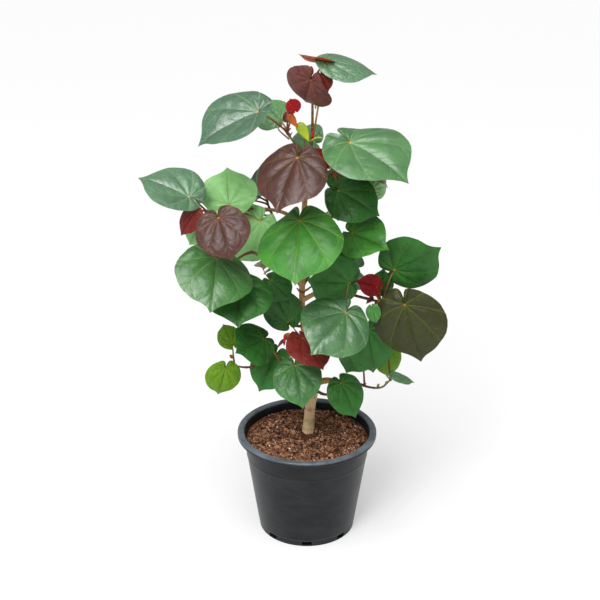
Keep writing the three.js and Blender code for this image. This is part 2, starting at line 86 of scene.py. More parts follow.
# A leaf's outline in blade widths: the shares of the cosines of 0, 1, 2 and 3 times the angle, the
# notch at the stalk and the drawn-out tip, with their widths in radians.
HEART = (0.471, 0.265, 0.046, -0.0075)
SINUS, SINUS_POWER = 0.15, 1.1
TIP_LONG, TIP_WIDE = 0.13, 0.1
LEAST_REACH = 0.05
STEM_STEPS = 12
OUTLINE_POINTS = 24
SAMPLE_SHARES, SAMPLE_RATE = (0.25, 0.5, 0.75, 1), 0.12  # rings, and half a ring's points to a mm
SEED = 11
ROLL_STEP, ROLL_SPAN = 16807, 2**31 - 1
GOLDEN = 137.5  # degrees from one leaf that is tried to the next
TRIES = 200  # for each leaf that is wanted
# A grown leaf's least and most width, distance from its stem and droop in degrees, then its length in
# widths, the lift of its face in degrees, its fold and its arch.
WIDE, OUT, DROOP = (70, 130), (30, 120), (25, 65)
LONG, LIFT, FOLD, ARCH = 0.9, 40, 0.05, 0.1
BELOW = 0.35  # the share of a fan's height that lies below its stem
GROWN_LOOKS = ["green", "dark", "bright", "green", "dark", "blue", "bronze", "purple"]
LEAF_GAP, LIMB_GAP = 7.5, 4
HIDDEN = 0.85  # how much of a leaf that grows by rule the viewer can't see for the others

# The trunk's axis from the soil to its tip: x, y, z and radius. Boughs and young stems are told alike.
TRUNK = [
    (3, 20, 213, 12.4), (5, 18, 252, 11.8), (10, 14, 300, 11.4), (16, 9, 333, 11), (12, 6, 358, 10),
    (3, 3, 400, 8.5), (-6, 4, 455, 7.5), (-11, 4, 535, 6.5), (-9, 0, 590, 6.2), (-10, 4, 660, 6),
    (-6, 4, 735, 5.5), (-2, 4, 800, 4.8), (6, 2, 850, 3.8), (9, 0, 900, 3), (9, 0, 945, 2.6),
]
BOUGHS = {
    "low_right": [(16, 8, 336, 8), (40, 4, 344, 7), (75, 8, 340, 4.2), (112, 12, 332, 3)],
    "low_left": [(-2, 2, 428, 4.5), (-40, 0, 412, 4), (-85, -12, 398, 3.2), (-118, -22, 388, 2.6)],
    "mid_right": [(-10, 2, 530, 6), (22, -2, 548, 5), (70, 6, 546, 4), (112, 6, 535, 3.2)],
    "mid_left": [(-9, 2, 570, 6), (-38, 0, 592, 5), (-75, -6, 622, 4.2), (-112, -14, 642, 3.4)],
    "upper_left": [(-8, 4, 690, 5), (-45, 22, 712, 4), (-95, 22, 722, 3.4), (-135, 8, 722, 3)],
    "upper_right": [(-4, 4, 765, 4.5), (22, 10, 782, 3.6), (48, 14, 796, 3)],
    "back_low": [(6, 4, 385, 6), (2, 30, 404, 4.8), (-6, 62, 420, 4), (-10, 92, 440, 3.2)],
    "back_left": [(-10, 4, 612, 5), (-30, 36, 632, 4.2), (-52, 70, 650, 3.4), (-66, 98, 668, 3)],
    "back_right": [(-10, 4, 640, 5), (14, 38, 660, 4.2), (42, 72, 676, 3.4), (60, 98, 692, 3)],
}
STEMS = {
    "top": [(9, 0, 945, 2.6), (9, -4, 968, 2.2), (8, -8, 988, 1.8)],
    "upper_left": [(2, 2, 832, 3), (-14, 4, 850, 2.6), (-30, 6, 868, 2.2), (-40, 6, 884, 2)],
    "upper_right": [(48, 14, 796, 3), (58, 12, 812, 2.6), (70, 0, 826, 2.2)],
    "front_purple": [(0, 2, 815, 3), (-4, -26, 820, 2.6), (-8, -52, 828, 2.2)],
    "front_bright": [(-6, 4, 700, 3.4), (-10, -28, 702, 3), (-12, -60, 706, 2.4)],
    "left_high": [(-135, 8, 722, 3), (-158, 0, 726, 2.6), (-180, -22, 728, 2.2), (-196, -42, 734, 2)],
    "left_mid": [(-112, -14, 642, 3.4), (-128, -26, 640, 2.8), (-146, -46, 634, 2.2)],
    "left_low": [(-9, 2, 470, 3.2), (-34, -4, 478, 2.6), (-54, -12, 500, 2.2), (-64, -14, 530, 1.8)],
    "right_high": [(-8, 4, 622, 3.6), (28, 0, 630, 3), (60, -2, 638, 2.4)],
    "right_mid": [(-10, 2, 500, 3.8), (22, -22, 506, 3.2), (52, -50, 512, 2.6), (72, -66, 518, 2.2)],
    "right_far": [(112, 6, 535, 3.2), (132, 0, 532, 2.8), (152, -14, 532, 2.4)],
    "low_front": [(2, 2, 405, 3.6), (0, -26, 412, 3), (-6, -46, 424, 2.4), (-8, -62, 442, 2)],
    "low_left": [(-118, -22, 388, 2.6), (-134, -26, 390, 2.2), (-152, -30, 396, 1.8)],
    "low_inner": [(9, 4, 372, 3.2), (-22, -16, 378, 2.6), (-46, -24, 384, 2.2)],
    "low_right": [(112, 12, 332, 3), (134, 4, 328, 2.4), (158, -4, 332, 2), (176, -10, 352, 1.6)],
    "low_near": [(14, 10, 322, 4), (34, -24, 326, 3), (54, -42, 334, 2.2)],
    "back_low": [(-10, 92, 440, 3.2), (-10, 120, 462, 2.4), (-8, 140, 492, 2)],
    "back_left": [(-66, 98, 668, 3), (-82, 118, 700, 2.4), (-88, 130, 742, 2)],
    "back_right": [(60, 98, 692, 3), (78, 118, 722, 2.4), (84, 128, 760, 2)],
    "back_high": [(-2, 4, 790, 3.4), (-4, 32, 812, 2.8), (-6, 58, 842, 2.2), (-6, 74, 872, 1.8)],
    "back_inner": [(-10, 4, 560, 3.6), (4, 40, 570, 3), (14, 72, 580, 2.4), (18, 100, 592, 2)],
}

# Leaves that show in front: mass, where the stalk joins the blade, the tip from there, blade width,
# the side faced (degrees to the right of the viewer, degrees up), fold, arch and leaf colour.
LEAVES = [
    ("top", (35, 0, 1025), (100, 0, -15), 100, 0, 75, -0.1, 0.05, "blue"),
    ("top", (40, 0, 1025), (-60, 0, 5), 55, 20, -70, 0.1, 0.05, "orange"),
    ("top", (5, -30, 995), (-15, 30, -55), 105, 0, 45, 0.1, 0.1, "plum"),
    ("top", (25, -10, 1000), (15, -22, -26), 36, 20, 20, 0.2, 0.1, "maroon"),
    ("upper_left", (-25, -20, 935), (-10, 20, 20), 30, 0, 22, 0.1, 0.1, "red"),
    ("upper_left", (-95, -40, 935), (-122, -20, -48), 150, 20, 75, 0.35, 0.08, "blue"),
    ("upper_left", (-55, 60, 895), (-40, 60, 25), 80, 0, 40, 0.05, 0, "pale"),
    ("upper_left", (-40, 0, 910), (5, 0, 20), 20, 0, 20, 0.4, 0.1, "maroon"),
    ("front_purple", (-20, -110, 865), (-40, -80, -75), 135, -20, 30, 0, 0.1, "purple"),
    ("front_bright", (-15, -110, 740), (-15, -110, -75), 165, -20, 40, -0.15, 0.1, "bright"),
    ("upper_right", (80, -60, 880), (110, -80, -38), 185, 0, 75, 0.15, 0.1, "pale"),
    ("upper_right", (15, 70, 845), (-50, 55, 0), 80, 0, 22, 0, 0.05, "pale"),
    ("upper_right", (15, -10, 845), (30, -5, -30), 35, 0, 22, 0.3, 0.1, "red"),
    ("upper_right", (60, -30, 775), (80, -40, -30), 100, 20, 30, 0, 0.1, "dark"),
    ("upper_right", (130, 30, 760), (35, 25, 0), 45, 0, 22, 0, 0.1, "fresh"),
    ("upper_right", (70, 30, 780), (-35, 30, 10), 50, 0, 22, 0, 0.1, "dark"),
    ("right_high", (90, -10, 680), (65, -65, -5), 100, 0, 35, 0.3, 0.1, "bright"),
    ("right_high", (80, 25, 640), (-5, -10, -42), 50, 0, 22, 0, 0.1, "dark"),
    ("right_mid", (85, -40, 585), (-80, -40, 15), 110, 0, 0, 0, 0.1, "dark"),
    ("right_mid", (75, -110, 550), (-65, -90, -40), 140, 0, 40, 0, 0.1, "pale"),
    ("right_far", (175, -30, 610), (80, -60, 60), 120, 0, 0, 0, 0.05, "dark"),
    ("right_far", (195, -70, 550), (30, -20, -125), 150, -20, 0, 0, 0.08, "bronze"),
    ("right_far", (140, -50, 580), (-40, -5, 15), 45, 0, 22, 0.2, 0.1, "red"),
    ("right_far", (150, -10, 555), (5, -5, 50), 50, 0, 22, 0.1, 0.1, "dark"),
    ("right_far", (130, -60, 540), (10, -5, -35), 30, 0, 22, 0.1, 0.1, "green"),
    ("right_far", (125, -30, 480), (15, -10, -105), 105, 0, 22, 0, 0.1, "dark"),
    ("low_right", (115, 5, 430), (-35, -5, -70), 85, -10, 22, 0, 0.1, "green"),
    ("low_right", (172, 35, 404), (5, -5, -70), 60, 10, 22, 0, 0.1, "lime"),
    ("low_right", (180, -20, 375), (50, 0, -15), 45, 20, 85, -0.3, 0.1, "pale"),
    ("low_near", (70, -60, 370), (35, -30, -65), 80, 20, 30, 0, 0.08, "dark"),
    ("low_front", (-10, -90, 485), (45, -60, -35), 95, 40, 0, 0, 0.1, "maroon"),
    ("low_front", (-25, -60, 410), (15, -70, -55), 100, 0, 30, 0, 0.1, "green"),
    ("low_inner", (-65, -20, 415), (-40, -30, -70), 90, -20, 20, 0, 0.1, "dark"),
    ("low_inner", (-90, -50, 465), (-50, -60, 0), 95, 0, 30, 0, 0.1, "dark"),
    ("low_left", (-155, -30, 445), (-20, 30, 35), 50, 20, 20, 0, 0, "lime"),
    ("low_left", (-170, -40, 395), (-15, 0, -70), 75, 20, 20, 0, 0.1, "lime"),
    ("left_mid", (-135, -75, 595), (0, -80, -52), 130, 0, 20, 0.1, 0.1, "dark"),
    ("left_low", (-75, -40, 590), (45, -5, -40), 60, 0, 22, 0, 0.1, "dark"),
    ("left_low", (-40, -30, 495), (-30, -5, 75), 80, 0, 22, 0, 0.05, "dark"),
    ("left_mid", (-178, -100, 660), (0, -108, -55), 152, 40, 60, 0, 0.1, "deep"),
    ("left_high", (-170, -120, 750), (25, -60, -60), 105, 0, 20, 0, 0.1, "purple"),
    ("left_high", (-215, -90, 755), (-35, -5, -50), 45, -20, 20, 0, 0.1, "maroon"),
    ("left_high", (-230, -70, 775), (-95, 20, 45), 130, 40, 60, 0.2, 0.05, "blue"),
    ("left_high", (-156, -20, 745), (-5, 30, 70), 115, 0, 20, 0, 0.2, "fresh"),
    ("left_high", (-95, 10, 700), (-70, -5, -85), 115, 0, 22, 0, 0.1, "fresh"),
    ("left_high", (-215, -20, 700), (-25, -5, -40), 50, -20, 22, 0.05, 0.1, "fresh"),
]
# Leaves that grow by rule on the far side: mass, how many, the middle of the fan that they fill, in
# degrees from the viewer's side round to the right, half its width, and the height they spread over.
FANS = [
    ("back_high", 4, 180, 110, 90),
    ("back_left", 7, -130, 75, 130),
    ("back_right", 7, 130, 75, 130),
    ("back_inner", 7, 160, 80, 80),
    ("back_low", 7, 180, 115, 120),
]

# Each leaf colour as sRGB: the blade, its second tint, its veins, its underside, how rough it is and
# how much it shines.
LOOKS = {
    "green": ("#428838", "#2c602c", "#8cb060", "#6f9468", 0.34, 0.5),
    "blue": ("#48734e", "#30563c", "#9cb88c", "#80a486", 0.28, 1.0),
    "pale": ("#4a7c42", "#305c32", "#90b87c", "#88aa84", 0.29, 0.85),
    "fresh": ("#8cc47c", "#70aa60", "#c0d898", "#88aa70", 0.38, 0.35),
    "deep": ("#30662a", "#204820", "#88ac5c", "#6f9468", 0.31, 0.7),
    "bright": ("#3e882b", "#24601e", "#94b850", "#7ca060", 0.36, 0.35),
    "dark": ("#286c22", "#184a12", "#68943c", "#5c8460", 0.36, 0.3),
    "lime": ("#64901a", "#4c7814", "#9cb844", "#8cac58", 0.42, 0.2),
    "bronze": ("#303611", "#26230d", "#747c34", "#6c7048", 0.38, 0.3),
    "purple": ("#502923", "#3c1f1a", "#84663c", "#704c46", 0.34, 0.45),
    "plum": ("#68302c", "#4e2220", "#946040", "#784440", 0.35, 0.4),
    "maroon": ("#7c2220", "#601818", "#a0583c", "#884440", 0.4, 0.25),
    "red": ("#86060c", "#5c0408", "#a83034", "#c04824", 0.4, 0.15),
    "orange": ("#d8541c", "#b03814", "#e08848", "#d0501c", 0.42, 0.25),
}

# Colours of the mix: each finish's dark and light brown, and its share of pale specks.
MIX_LOOKS = {
    "bed": ("#20100a", "#78482f", 0.6),
    "crumb": ("#2c160e", "#b88464"),
    "fibre": ("#80482c", "#d0a078"),
    "perlite": ("#c8c0b4", "#f4f0ea"),
}
# Colours of the stipules and buds: foot and tip.
YOUNG_LOOKS = {
    "red_bud": ("#980c18", "#c01c28"),
    "maroon_bud": ("#4c1c1c", "#7c1c28"),
    "orange_bud": ("#8c3c04", "#b45808"),
    "lime_bud": ("#7c9014", "#a4b428"),
    "olive_bud": ("#6c7030", "#948c48"),
    "yellow_bud": ("#9c9828", "#d0c050"),
}
# Stipules and buds that show: foot, tip, width, thickness in widths and colour.
YOUNG = [
    ((-40, -20, 924), (-21, -20, 900), 18, 0.25, "orange_bud"),
    ((-21, -14, 906), (2, -22, 873), 22, 0.25, "lime_bud"),
    ((3, -8, 868), (30, -20, 880), 16, 0.25, "lime_bud"),
    ((15, -6, 933), (15, -10, 952), 14, 0.3, "lime_bud"),
    ((-5, -10, 841), (-3, -16, 861), 14, 0.3, "olive_bud"),
    ((10, -6, 872), (8, -12, 891), 8, 0.8, "red_bud"),
    ((-40, -12, 909), (-36, -14, 932), 12, 0.7, "maroon_bud"),
    ((27, -6, 980), (22, -8, 990), 6, 0.8, "red_bud"),
    ((23, -6, 955), (17, -7, 961), 6, 0.8, "red_bud"),
    ((8, -10, 1000), (6, -12, 1018), 8, 0.4, "red_bud"),
    ((-48, -30, 441), (-46, -36, 466), 7, 0.8, "red_bud"),
    ((-46, -30, 454), (-36, -34, 472), 14, 0.25, "orange_bud"),
    ((-44, -28, 456), (-63, -32, 435), 8, 0.4, "maroon_bud"),
    ((-155, -24, 409), (-162, -28, 419), 8, 0.8, "orange_bud"),
    ((140, -20, 555), (154, -26, 575), 10, 0.3, "orange_bud"),
    ((144, -24, 541), (161, -30, 524), 12, 0.25, "yellow_bud"),
    ((136, -24, 546), (120, -30, 535), 12, 0.4, "maroon_bud"),
    ((134, -22, 562), (146, -30, 544), 10, 0.3, "orange_bud"),
    ((150, -2, 330), (153, -4, 341), 6, 0.8, "olive_bud"),
    ((166, -7, 339), (171, -9, 350), 6, 0.8, "olive_bud"),
    ((-86, -10, 630), (-92, -14, 646), 8, 0.4, "orange_bud"),
]

# Thin shoots that show.
SHOOTS = [
    [(10, -3, 873, 2), (16, -5, 911, 1.9), (27, -6, 980, 1.7), (36, -2, 1021, 1.4)],
    [(-36, -2, 872, 1.6), (-56, 0, 890, 1.4), (-56, 50, 896, 1.2)],
    [(-92, -12, 636, 1.4), (-94, -9, 614, 1.1), (-82, -14, 588, 0.9)],
    [(-6, 0, 548, 2.6), (-15, -5, 552, 2.2), (-21, -9, 561, 1.6)],
    [(-8, 2, 499, 2.4), (-15, -8, 501, 2), (-20, -12, 503, 1.5)],
    [(-6, 2, 444, 2.2), (-20, -8, 460, 1.7), (-31, -12, 477, 1.2)],
]

# The slots of the masses that aren't plain green.
SLOTS = dict.fromkeys(("top", "front_purple", "low_front"), "leaf_purple")
SLOTS |= dict.fromkeys(("left_low", "low_inner", "back_inner"), "leaf_dark")
SLOTS |= {"right_far": "leaf_bronze", "low_left": "leaf_lime"}

# The fine leaf: how many columns go round it and rings across it, its thickness and its veins.
BLADE_COLUMNS, BLADE_RINGS = 72, 16
COLUMN_CROWD, RING_CROWD = 0.36, 0.85
BLADE_THICK = 0.7
CELL_START, CELL_SIZE = (0.6, 0.46), (1.2, 1.46)  # what a cell of the map holds, in blade widths
VEIN_STEP = math.radians(40)
VEIN_BEND = 0.45  # how far the main veins bend towards the tip
VEIN_WIDE = 0.0036
SIDE_VEINS, SIDE_ARCH = 7.5, 0.24  # how many to a blade width, and how far they arch outwards
# How far its sheet leaves the solids', in blade widths: fields puffed between the veins, ripples, drops
# at the sides and the tip, waves of the margin and two sizes of notches in its outline.
PUFF, RIPPLE, SIDE_DROP, TIP_DROP = 0.062, 0.003, 0.06, 0.3
WAVES, NOTCHED = (0.03, 0.02, 0.01), (0.008, 0.005)

# The fine wood: the length of a step along it and how many sides it has.
BARK_STEP = 2.2
STEM_FINE, STALK_FINE, SHOOT_FINE = 36, 16, 16  # steps along each
TRUNK_SIDES, BOUGH_SIDES, STEM_SIDES, STALK_SIDES = 44, 22, 12, 10
JOINT_STEP, JOINT_WIDE = 27, 2.6  # from one old joint to the next, and how far its ring spreads
SLIVER_BOW = 0.12
END_BUD_LONG, END_BUD_WIDE = 9, 5
STIPULE_LONG, STIPULE_WIDE = (5, 10), 3.5

# The whole numbers that make noise from the corners of a lattice.
HASH_CELL, HASH_SEED = np.array([73856093, 19349663, 83492791]), 2654435761
HASH_ROUNDS, HASH_SPAN = [(13, 1274126177), (16, 668265263)], 2**31 - 1


def paint(code):
    """An sRGB colour code as the linear red, green, blue and alpha that a shader takes."""
    parts = [int(code[i:i + 2], 16) / 255 for i in (1, 3, 5)]
    return (*(c / 12.92 if c <= 0.04045 else ((c + 0.055) / 1.055) ** 2.4 for c in parts), 1.0)


def unit(v):
    """Vectors scaled to length 1, along their last axis."""
    v = np.asarray(v, float)
    return v / np.linalg.norm(v, axis=-1, keepdims=True)


def noise(places, size, seed=0):
    """Smooth random heights from -1 to 1: a hashed value at each corner of a lattice with cells of that
    size, eased between corners by 3t^2 - 2t^3."""
    q = np.asarray(places, float) / size + 1000
    cell = np.floor(q).astype(np.int64)
    t = q - cell
    t = t * t * (3 - 2 * t)
    total = 0.0
    for corner in np.ndindex(2, 2, 2):
        n = (cell + corner) @ HASH_CELL + seed * HASH_SEED
        for shift, factor in HASH_ROUNDS:
            n = (n ^ (n >> shift)) * factor & HASH_SPAN
        share = np.prod(np.where(corner, t, 1 - t), axis=-1)
        total = total + share * (n / (HASH_SPAN // 2) - 1)
    return total


def along(axis, steps):
    """Points of x, y, z and radius on the smooth line through the given ones: a centripetal
    Catmull-Rom curve, whose pieces take equal shares of the steps, with the radius lerped."""
    axis = np.asarray(axis, float)
    p = axis[:, :3]
    p = np.vstack([2 * p[0] - p[1], p, 2 * p[-1] - p[-2]])
    t = np.linspace(0, len(axis) - 1, steps + 1)
    j = np.minimum(t.astype(int), len(axis) - 2)
    w = (t - j)[:, None]
    x0, x1, x2, x3 = (p[j + k] for k in range(4))
    pairs = ((x0, x1), (x1, x2), (x2, x3))
    d0, d1, d2 = (np.sqrt(np.linalg.norm(b - a, axis=1))[:, None] for a, b in pairs)
    t1 = ((x1 - x0) / d0 - (x2 - x0) / (d0 + d1) + (x2 - x1) / d1) * d1
    t2 = ((x2 - x1) / d1 - (x3 - x1) / (d1 + d2) + (x3 - x2) / d2) * d1
    at = x1 + t1 * w + (-3 * x1 + 3 * x2 - 2 * t1 - t2) * w**2 + (2 * x1 - 2 * x2 + t1 + t2) * w**3
    r = axis[j, 3:] * (1 - w) + axis[j + 1, 3:] * w
    return np.hstack([at, r])


def reach(angle):
    """The leaf's outline: how far it reaches from the stalk's joint at an angle from the tip, in blade
    widths. A heart of cosines, drawn in at the stalk by an exponential and out at the tip by another."""
    a = np.abs(angle)
    body = sum(share * np.cos(k * a) for k, share in enumerate(HEART))
    sinus = 1 - np.exp(-((np.maximum(math.pi - a, 0) / SINUS) ** SINUS_POWER))
    return np.maximum(body * sinus + TIP_LONG * np.exp(-a / TIP_WIDE), LEAST_REACH)


class Leaf:
    """One leaf of the rule: its place and directions, and the sheet that its blade follows."""

    def __init__(self, mass, joint, tip, wide, turn, lift, fold, arch, look):
        self.mass, self.wide, self.fold, self.arch, self.look = mass, wide, fold, arch, look
        self.joint, tip = np.array(joint, float), np.array(tip, float)
        self.long = np.linalg.norm(tip)
        az, el = math.radians(turn), math.radians(lift)
        self.rib = tip / self.long
        face = np.array([math.sin(az), -math.cos(az), math.tan(el)])
        self.up = unit(face - face @ self.rib * self.rib)
        self.across = np.cross(self.rib, self.up)
        self.ahead = self.long / reach(0.0)
        stalk = along(self.stalk_line(2), STEM_STEPS)[2:, :3]
        self.told = np.vstack([self.samples(), stalk])
        self.blade_told = len(self.told) - len(stalk)
        x, y = self.local(np.radians(np.arange(OUTLINE_POINTS) * (360 / OUTLINE_POINTS)), 1)
        self.outline = seen(self.place(x, y, self.blade(x, y)))

    def blade(self, x, y):
        """How far the blade lies above its joint: it arches down along the midrib and folds along it."""
        return -self.arch * self.long * (y / self.long) ** 2 + self.fold * np.abs(x)

    def local(self, angle, share):
        """Millimetres across and along the blade at an angle from its tip and a share of its reach."""
        r = reach(angle) * share
        size = np.where(np.cos(angle) > 0, self.ahead, self.wide)
        return r * np.sin(angle) * self.wide, r * np.cos(angle) * size

    def place(self, x, y, h):
        """Places in the frame from the leaf's own x across, y along its midrib and height h."""
        x, y, h = (np.asarray(v, float)[..., None] for v in (x, y, h))
        return self.joint + y * self.rib + x * self.across + h * self.up

    def samples(self):
        """Points spread over the blade."""
        found = [self.joint[None]]
        for share in SAMPLE_SHARES:
            step = 180 / math.ceil(self.wide * share * SAMPLE_RATE)
            x, y = self.local(np.radians(np.arange(-180, 180 - 1e-9, step)), share)
            found.append(self.place(x, y, self.blade(x, y)))
        return np.vstack(found)

    def stalk_line(self, steps, sink=4.0, under=0.0):
        """The stalk from the nearest point of its mass's stem, bowed up, to just inside the blade: a
        quadratic curve, with its radius."""
        stem = along(STEMS[self.mass], STEM_STEPS)[2:, :3]
        low = self.joint - (0, 0, STALK_FALL * self.wide)
        foot = stem[np.argmin(np.linalg.norm(stem - low, axis=1))]
        end = self.joint + sink * self.rib
        bow = (0, 0, STALK_BOW * np.linalg.norm(foot - end))
        bend = foot * STALK_BEND[0] + end * STALK_BEND[1] + bow
        end = end - under * self.up
        t = np.linspace(0, 1, steps + 1)[:, None]
        line = foot * (1 - t) ** 2 + bend * 2 * t * (1 - t) + end * t**2
        return np.hstack([line, STALK_FOOT + (STALK_TIP - STALK_FOOT) * t])

    def near(self, points, gap):
        """Whether any of the points comes within a gap of the blade."""
        d = points - self.joint
        x, y, h = d @ self.across, d @ self.rib, d @ self.up
        ahead = np.where(y > 0, self.ahead / self.wide, 1)
        inside = np.hypot(x, y / ahead) < reach(np.arctan2(x, y / ahead)) * self.wide + gap
        return bool((inside & (np.abs(h - self.blade(x, y)) < gap)).any())


def seen(points):
    """Where the viewer sees points: across and up, at one unit of depth."""
    d = np.asarray(points) - CAMERA_AT
    return d[..., [0, 2]] / d[..., 1:2]


def hidden(points, leaves):
    """Which points the leaves hide from the viewer: those farther off than a leaf's joint and within
    its outline as it is seen, told by how many of its edges a level line crosses."""
    far = np.linalg.norm(points - CAMERA_AT, axis=1)
    near = np.linalg.norm([leaf.joint - CAMERA_AT for leaf in leaves], axis=1)[:, None]
    u, v = seen(points)[:, None].transpose(2, 0, 1)
    x1, y1 = np.array([leaf.outline for leaf in leaves])[:, None].transpose(3, 0, 1, 2)
    x0, y0 = np.roll(x1, 1, -1), np.roll(y1, 1, -1)
    rise = np.where(y1 == y0, 1, y1 - y0)
    crossed = ((y0 > v) != (y1 > v)) & (u < x0 + (x1 - x0) * (v - y0) / rise)
    return ((crossed.sum(-1) % 2 == 1) & (far > near)).any(0)


def keeps_clear(leaf, others):
    """Whether a leaf keeps clear of the limbs and of the leaves already there."""
    for name, points in LIMB_POINTS.items():
        told = leaf.told[:leaf.blade_told] if name == leaf.mass else leaf.told
        far = np.linalg.norm(told[:, None] - points[None, :, :3], axis=2) > points[:, 3] + LIMB_GAP
        if not far.all():
            return False
    for other in others:
        if leaf.near(other.told, LEAF_GAP) or other.near(leaf.told, LEAF_GAP):
            return False
        stalks = leaf.told[leaf.blade_told:, None] - other.told[None, other.blade_told:]
        if leaf.mass != other.mass and (np.linalg.norm(stalks, axis=2) < LEAF_GAP).any():
            return False
    return True


LIMB_POINTS = {"wood": np.vstack([along(axis, 30) for axis in (TRUNK, *BOUGHS.values())])}
LIMB_POINTS |= {name: along(axis, STEM_STEPS) for name, axis in STEMS.items()}


def grow_leaves():
    """Every leaf of the plant. Those of a fan are tried one at a time, each at the next golden angle and
    with sizes from one repeatable run of numbers, and skipped where there is no room."""
    state = SEED

    def roll():
        nonlocal state
        state = state * ROLL_STEP % ROLL_SPAN
        return state / ROLL_SPAN

    def between(low, high):
        return low * (1 - (t := roll())) + high * t

    leaves = [Leaf(*row) for row in LEAVES]
    for mass, count, middle, half, high in FANS:
        stem = along(STEMS[mass], STEM_STEPS)[3:, :3]
        grown = 0
        for i in range(TRIES * count):
            if grown == count:
                break
            joint = stem[int(roll() * len(stem))].copy()
            turn = math.radians(middle + half * (i * GOLDEN % 360 / 180 - 1))
            out = np.array([math.sin(turn), -math.cos(turn), 0])
            wide = between(*WIDE)
            joint += out * between(*OUT)
            joint[2] += high * (roll() - BELOW)
            droop = math.radians(between(*DROOP))
            tip = (out * math.cos(droop) - (0, 0, math.sin(droop))) * LONG * wide
            look = GROWN_LOOKS[int(roll() * len(GROWN_LOOKS))]
            leaf = Leaf(mass, joint, tip, wide, math.degrees(turn), LIFT, FOLD, ARCH, look)
            blade = leaf.told[:leaf.blade_told]
            if hidden(blade, leaves).sum() >= HIDDEN * len(blade) and keeps_clear(leaf, leaves):
                leaves.append(leaf)
                grown += 1
    return leaves


class Shape:
    """Vertices, faces, finishes, map places and vertex values of the parts that make one piece."""

    def __init__(self, finishes):
        self.finishes = finishes
        self.verts, self.groups, self.values, self.count = [], [], [], 0

    def add(self, verts, *groups, **values):
        """Adds a part: its vertices, groups of (faces, finish name, {map: places by corner}), and
        values by vertex. Faces is an array with 3 or 4 corners to a row."""
        for faces, finish, *maps in groups:
            self.groups.append((faces + self.count, finish, maps[0] if maps else {}))
        self.verts.append(verts)
        self.values.append((len(verts), values))
        self.count += len(verts)

    def piece(self, name, slot, *nodes, sharp=50):
        """Makes the piece in metres, with edges over that many degrees sharp, in place of the nodes."""
        mesh = bpy.data.meshes.new(name)
        verts = np.vstack(self.verts) * MM
        mesh.vertices.add(len(verts))
        mesh.vertices.foreach_set("co", verts.astype(np.float32).ravel())
        faces, worn, maps = zip(*self.groups)
        corners = np.concatenate([rows.ravel() for rows in faces])
        sides = np.concatenate([np.full(len(rows), rows.shape[1]) for rows in faces])
        mesh.loops.add(len(corners))
        mesh.loops.foreach_set("vertex_index", corners.astype(np.int32))
        mesh.polygons.add(len(sides))
        mesh.polygons.foreach_set("loop_start", (np.cumsum(sides) - sides).astype(np.int32))
        used = sorted(set(worn))
        for finish in used:
            mesh.materials.append(self.finishes[finish])
        index = np.concatenate([np.full(len(rows), used.index(f)) for rows, f in zip(faces, worn)])
        mesh.polygons.foreach_set("material_index", index.astype(np.int32))
        for key in sorted({k for held in maps for k in held}):
            blank = [np.zeros((rows.size, 2)) for rows in faces]
            places = [held.get(key, none).reshape(-1, 2) for held, none in zip(maps, blank)]
            layer = mesh.uv_layers.new(name=key).uv
            layer.foreach_set("vector", np.vstack(places).astype(np.float32).ravel())
        for key in sorted({k for _, values in self.values for k in values}):
            held = np.concatenate([np.broadcast_to(values.get(key, 0.0), n) for n, values in self.values])
            column = mesh.attributes.new(key, "FLOAT", "POINT").data
            column.foreach_set("value", held.astype(np.float32))
        mesh.update(calc_edges=True)
        mesh.shade_smooth()
        mesh.set_sharp_from_angle(angle=math.radians(sharp))
        mesh.validate()
        piece = bpy.data.objects.new(name, mesh)
        bpy.context.scene.collection.objects.link(piece)
        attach(piece, "root")
        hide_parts(*nodes)


def rings(count, columns):
    """Quads between count rings of columns vertices each, numbered ring by ring."""
    ring = np.arange(count - 1)[:, None] * columns
    here = np.arange(columns)
    after = (here + 1) % columns
    quads = np.stack([ring + here, ring + after, ring + columns + after, ring + columns + here], -1)
    return quads.reshape(-1, 4)


def fans(middle, ring, columns, flip=False):
    """Triangles from one vertex to a ring of columns vertices."""
    here = np.arange(columns)
    after = (here + 1) % columns
    ends = (ring + after, ring + here) if flip else (ring + here, ring + after)
    return np.stack([np.full(columns, middle), *ends], -1)


def sweep(points, sides, flat, relief):
    """A closed limb along points of x, y, z and radius: rings of sides vertices square to the line, at
    radius times cosine and sine, the second flattened, raised by a relief of (places, distance along,
    radius) in millimetres, and closed at each end by a fan. Returns vertices, quads and triangles."""
    p, r = points[:, :3], points[:, 3:]
    way = unit(np.gradient(p, axis=0))
    level = np.eye(3)[np.argmin(np.abs(way).mean(0))]
    side = unit(np.cross(level, way))
    other = np.cross(way, side)
    a = np.linspace(0, 2 * math.pi, sides, endpoint=False)
    out = side[:, None] * np.cos(a)[:, None] + other[:, None] * (np.sin(a) * flat)[:, None]
    verts = p[:, None] + out * r[:, None]
    if relief:
        verts = verts + out * relief(verts, travel(p)[:, None], r)[..., None]
    n = len(p) * sides
    verts = np.vstack([verts.reshape(-1, 3), p[:1], p[-1:]])
    ends = np.vstack([fans(n, 0, sides, flip=True), fans(n + 1, n - sides, sides)])
    return verts, rings(len(p), sides), ends


def travel(p):
    """The distance along a line of points."""
    return np.append(0, np.cumsum(np.linalg.norm(np.diff(p, axis=0), axis=1)))


def add_limb(shape, finish, points, sides, flat=1.0, relief=None, **values):
    """Adds a swept limb to a shape, with the share of its length as the value "along" and its radius in
    millimetres as the value "girth"."""
    verts, quads, ends = sweep(points, sides, flat, relief)
    rows = np.linspace(0, 1, len(points)), points[:, 3]
    share, girth = (np.append(np.repeat(row, sides), (row[0], row[-1])) for row in rows)
    shape.add(verts, (quads, finish), (ends, finish), along=share, girth=girth, **values)


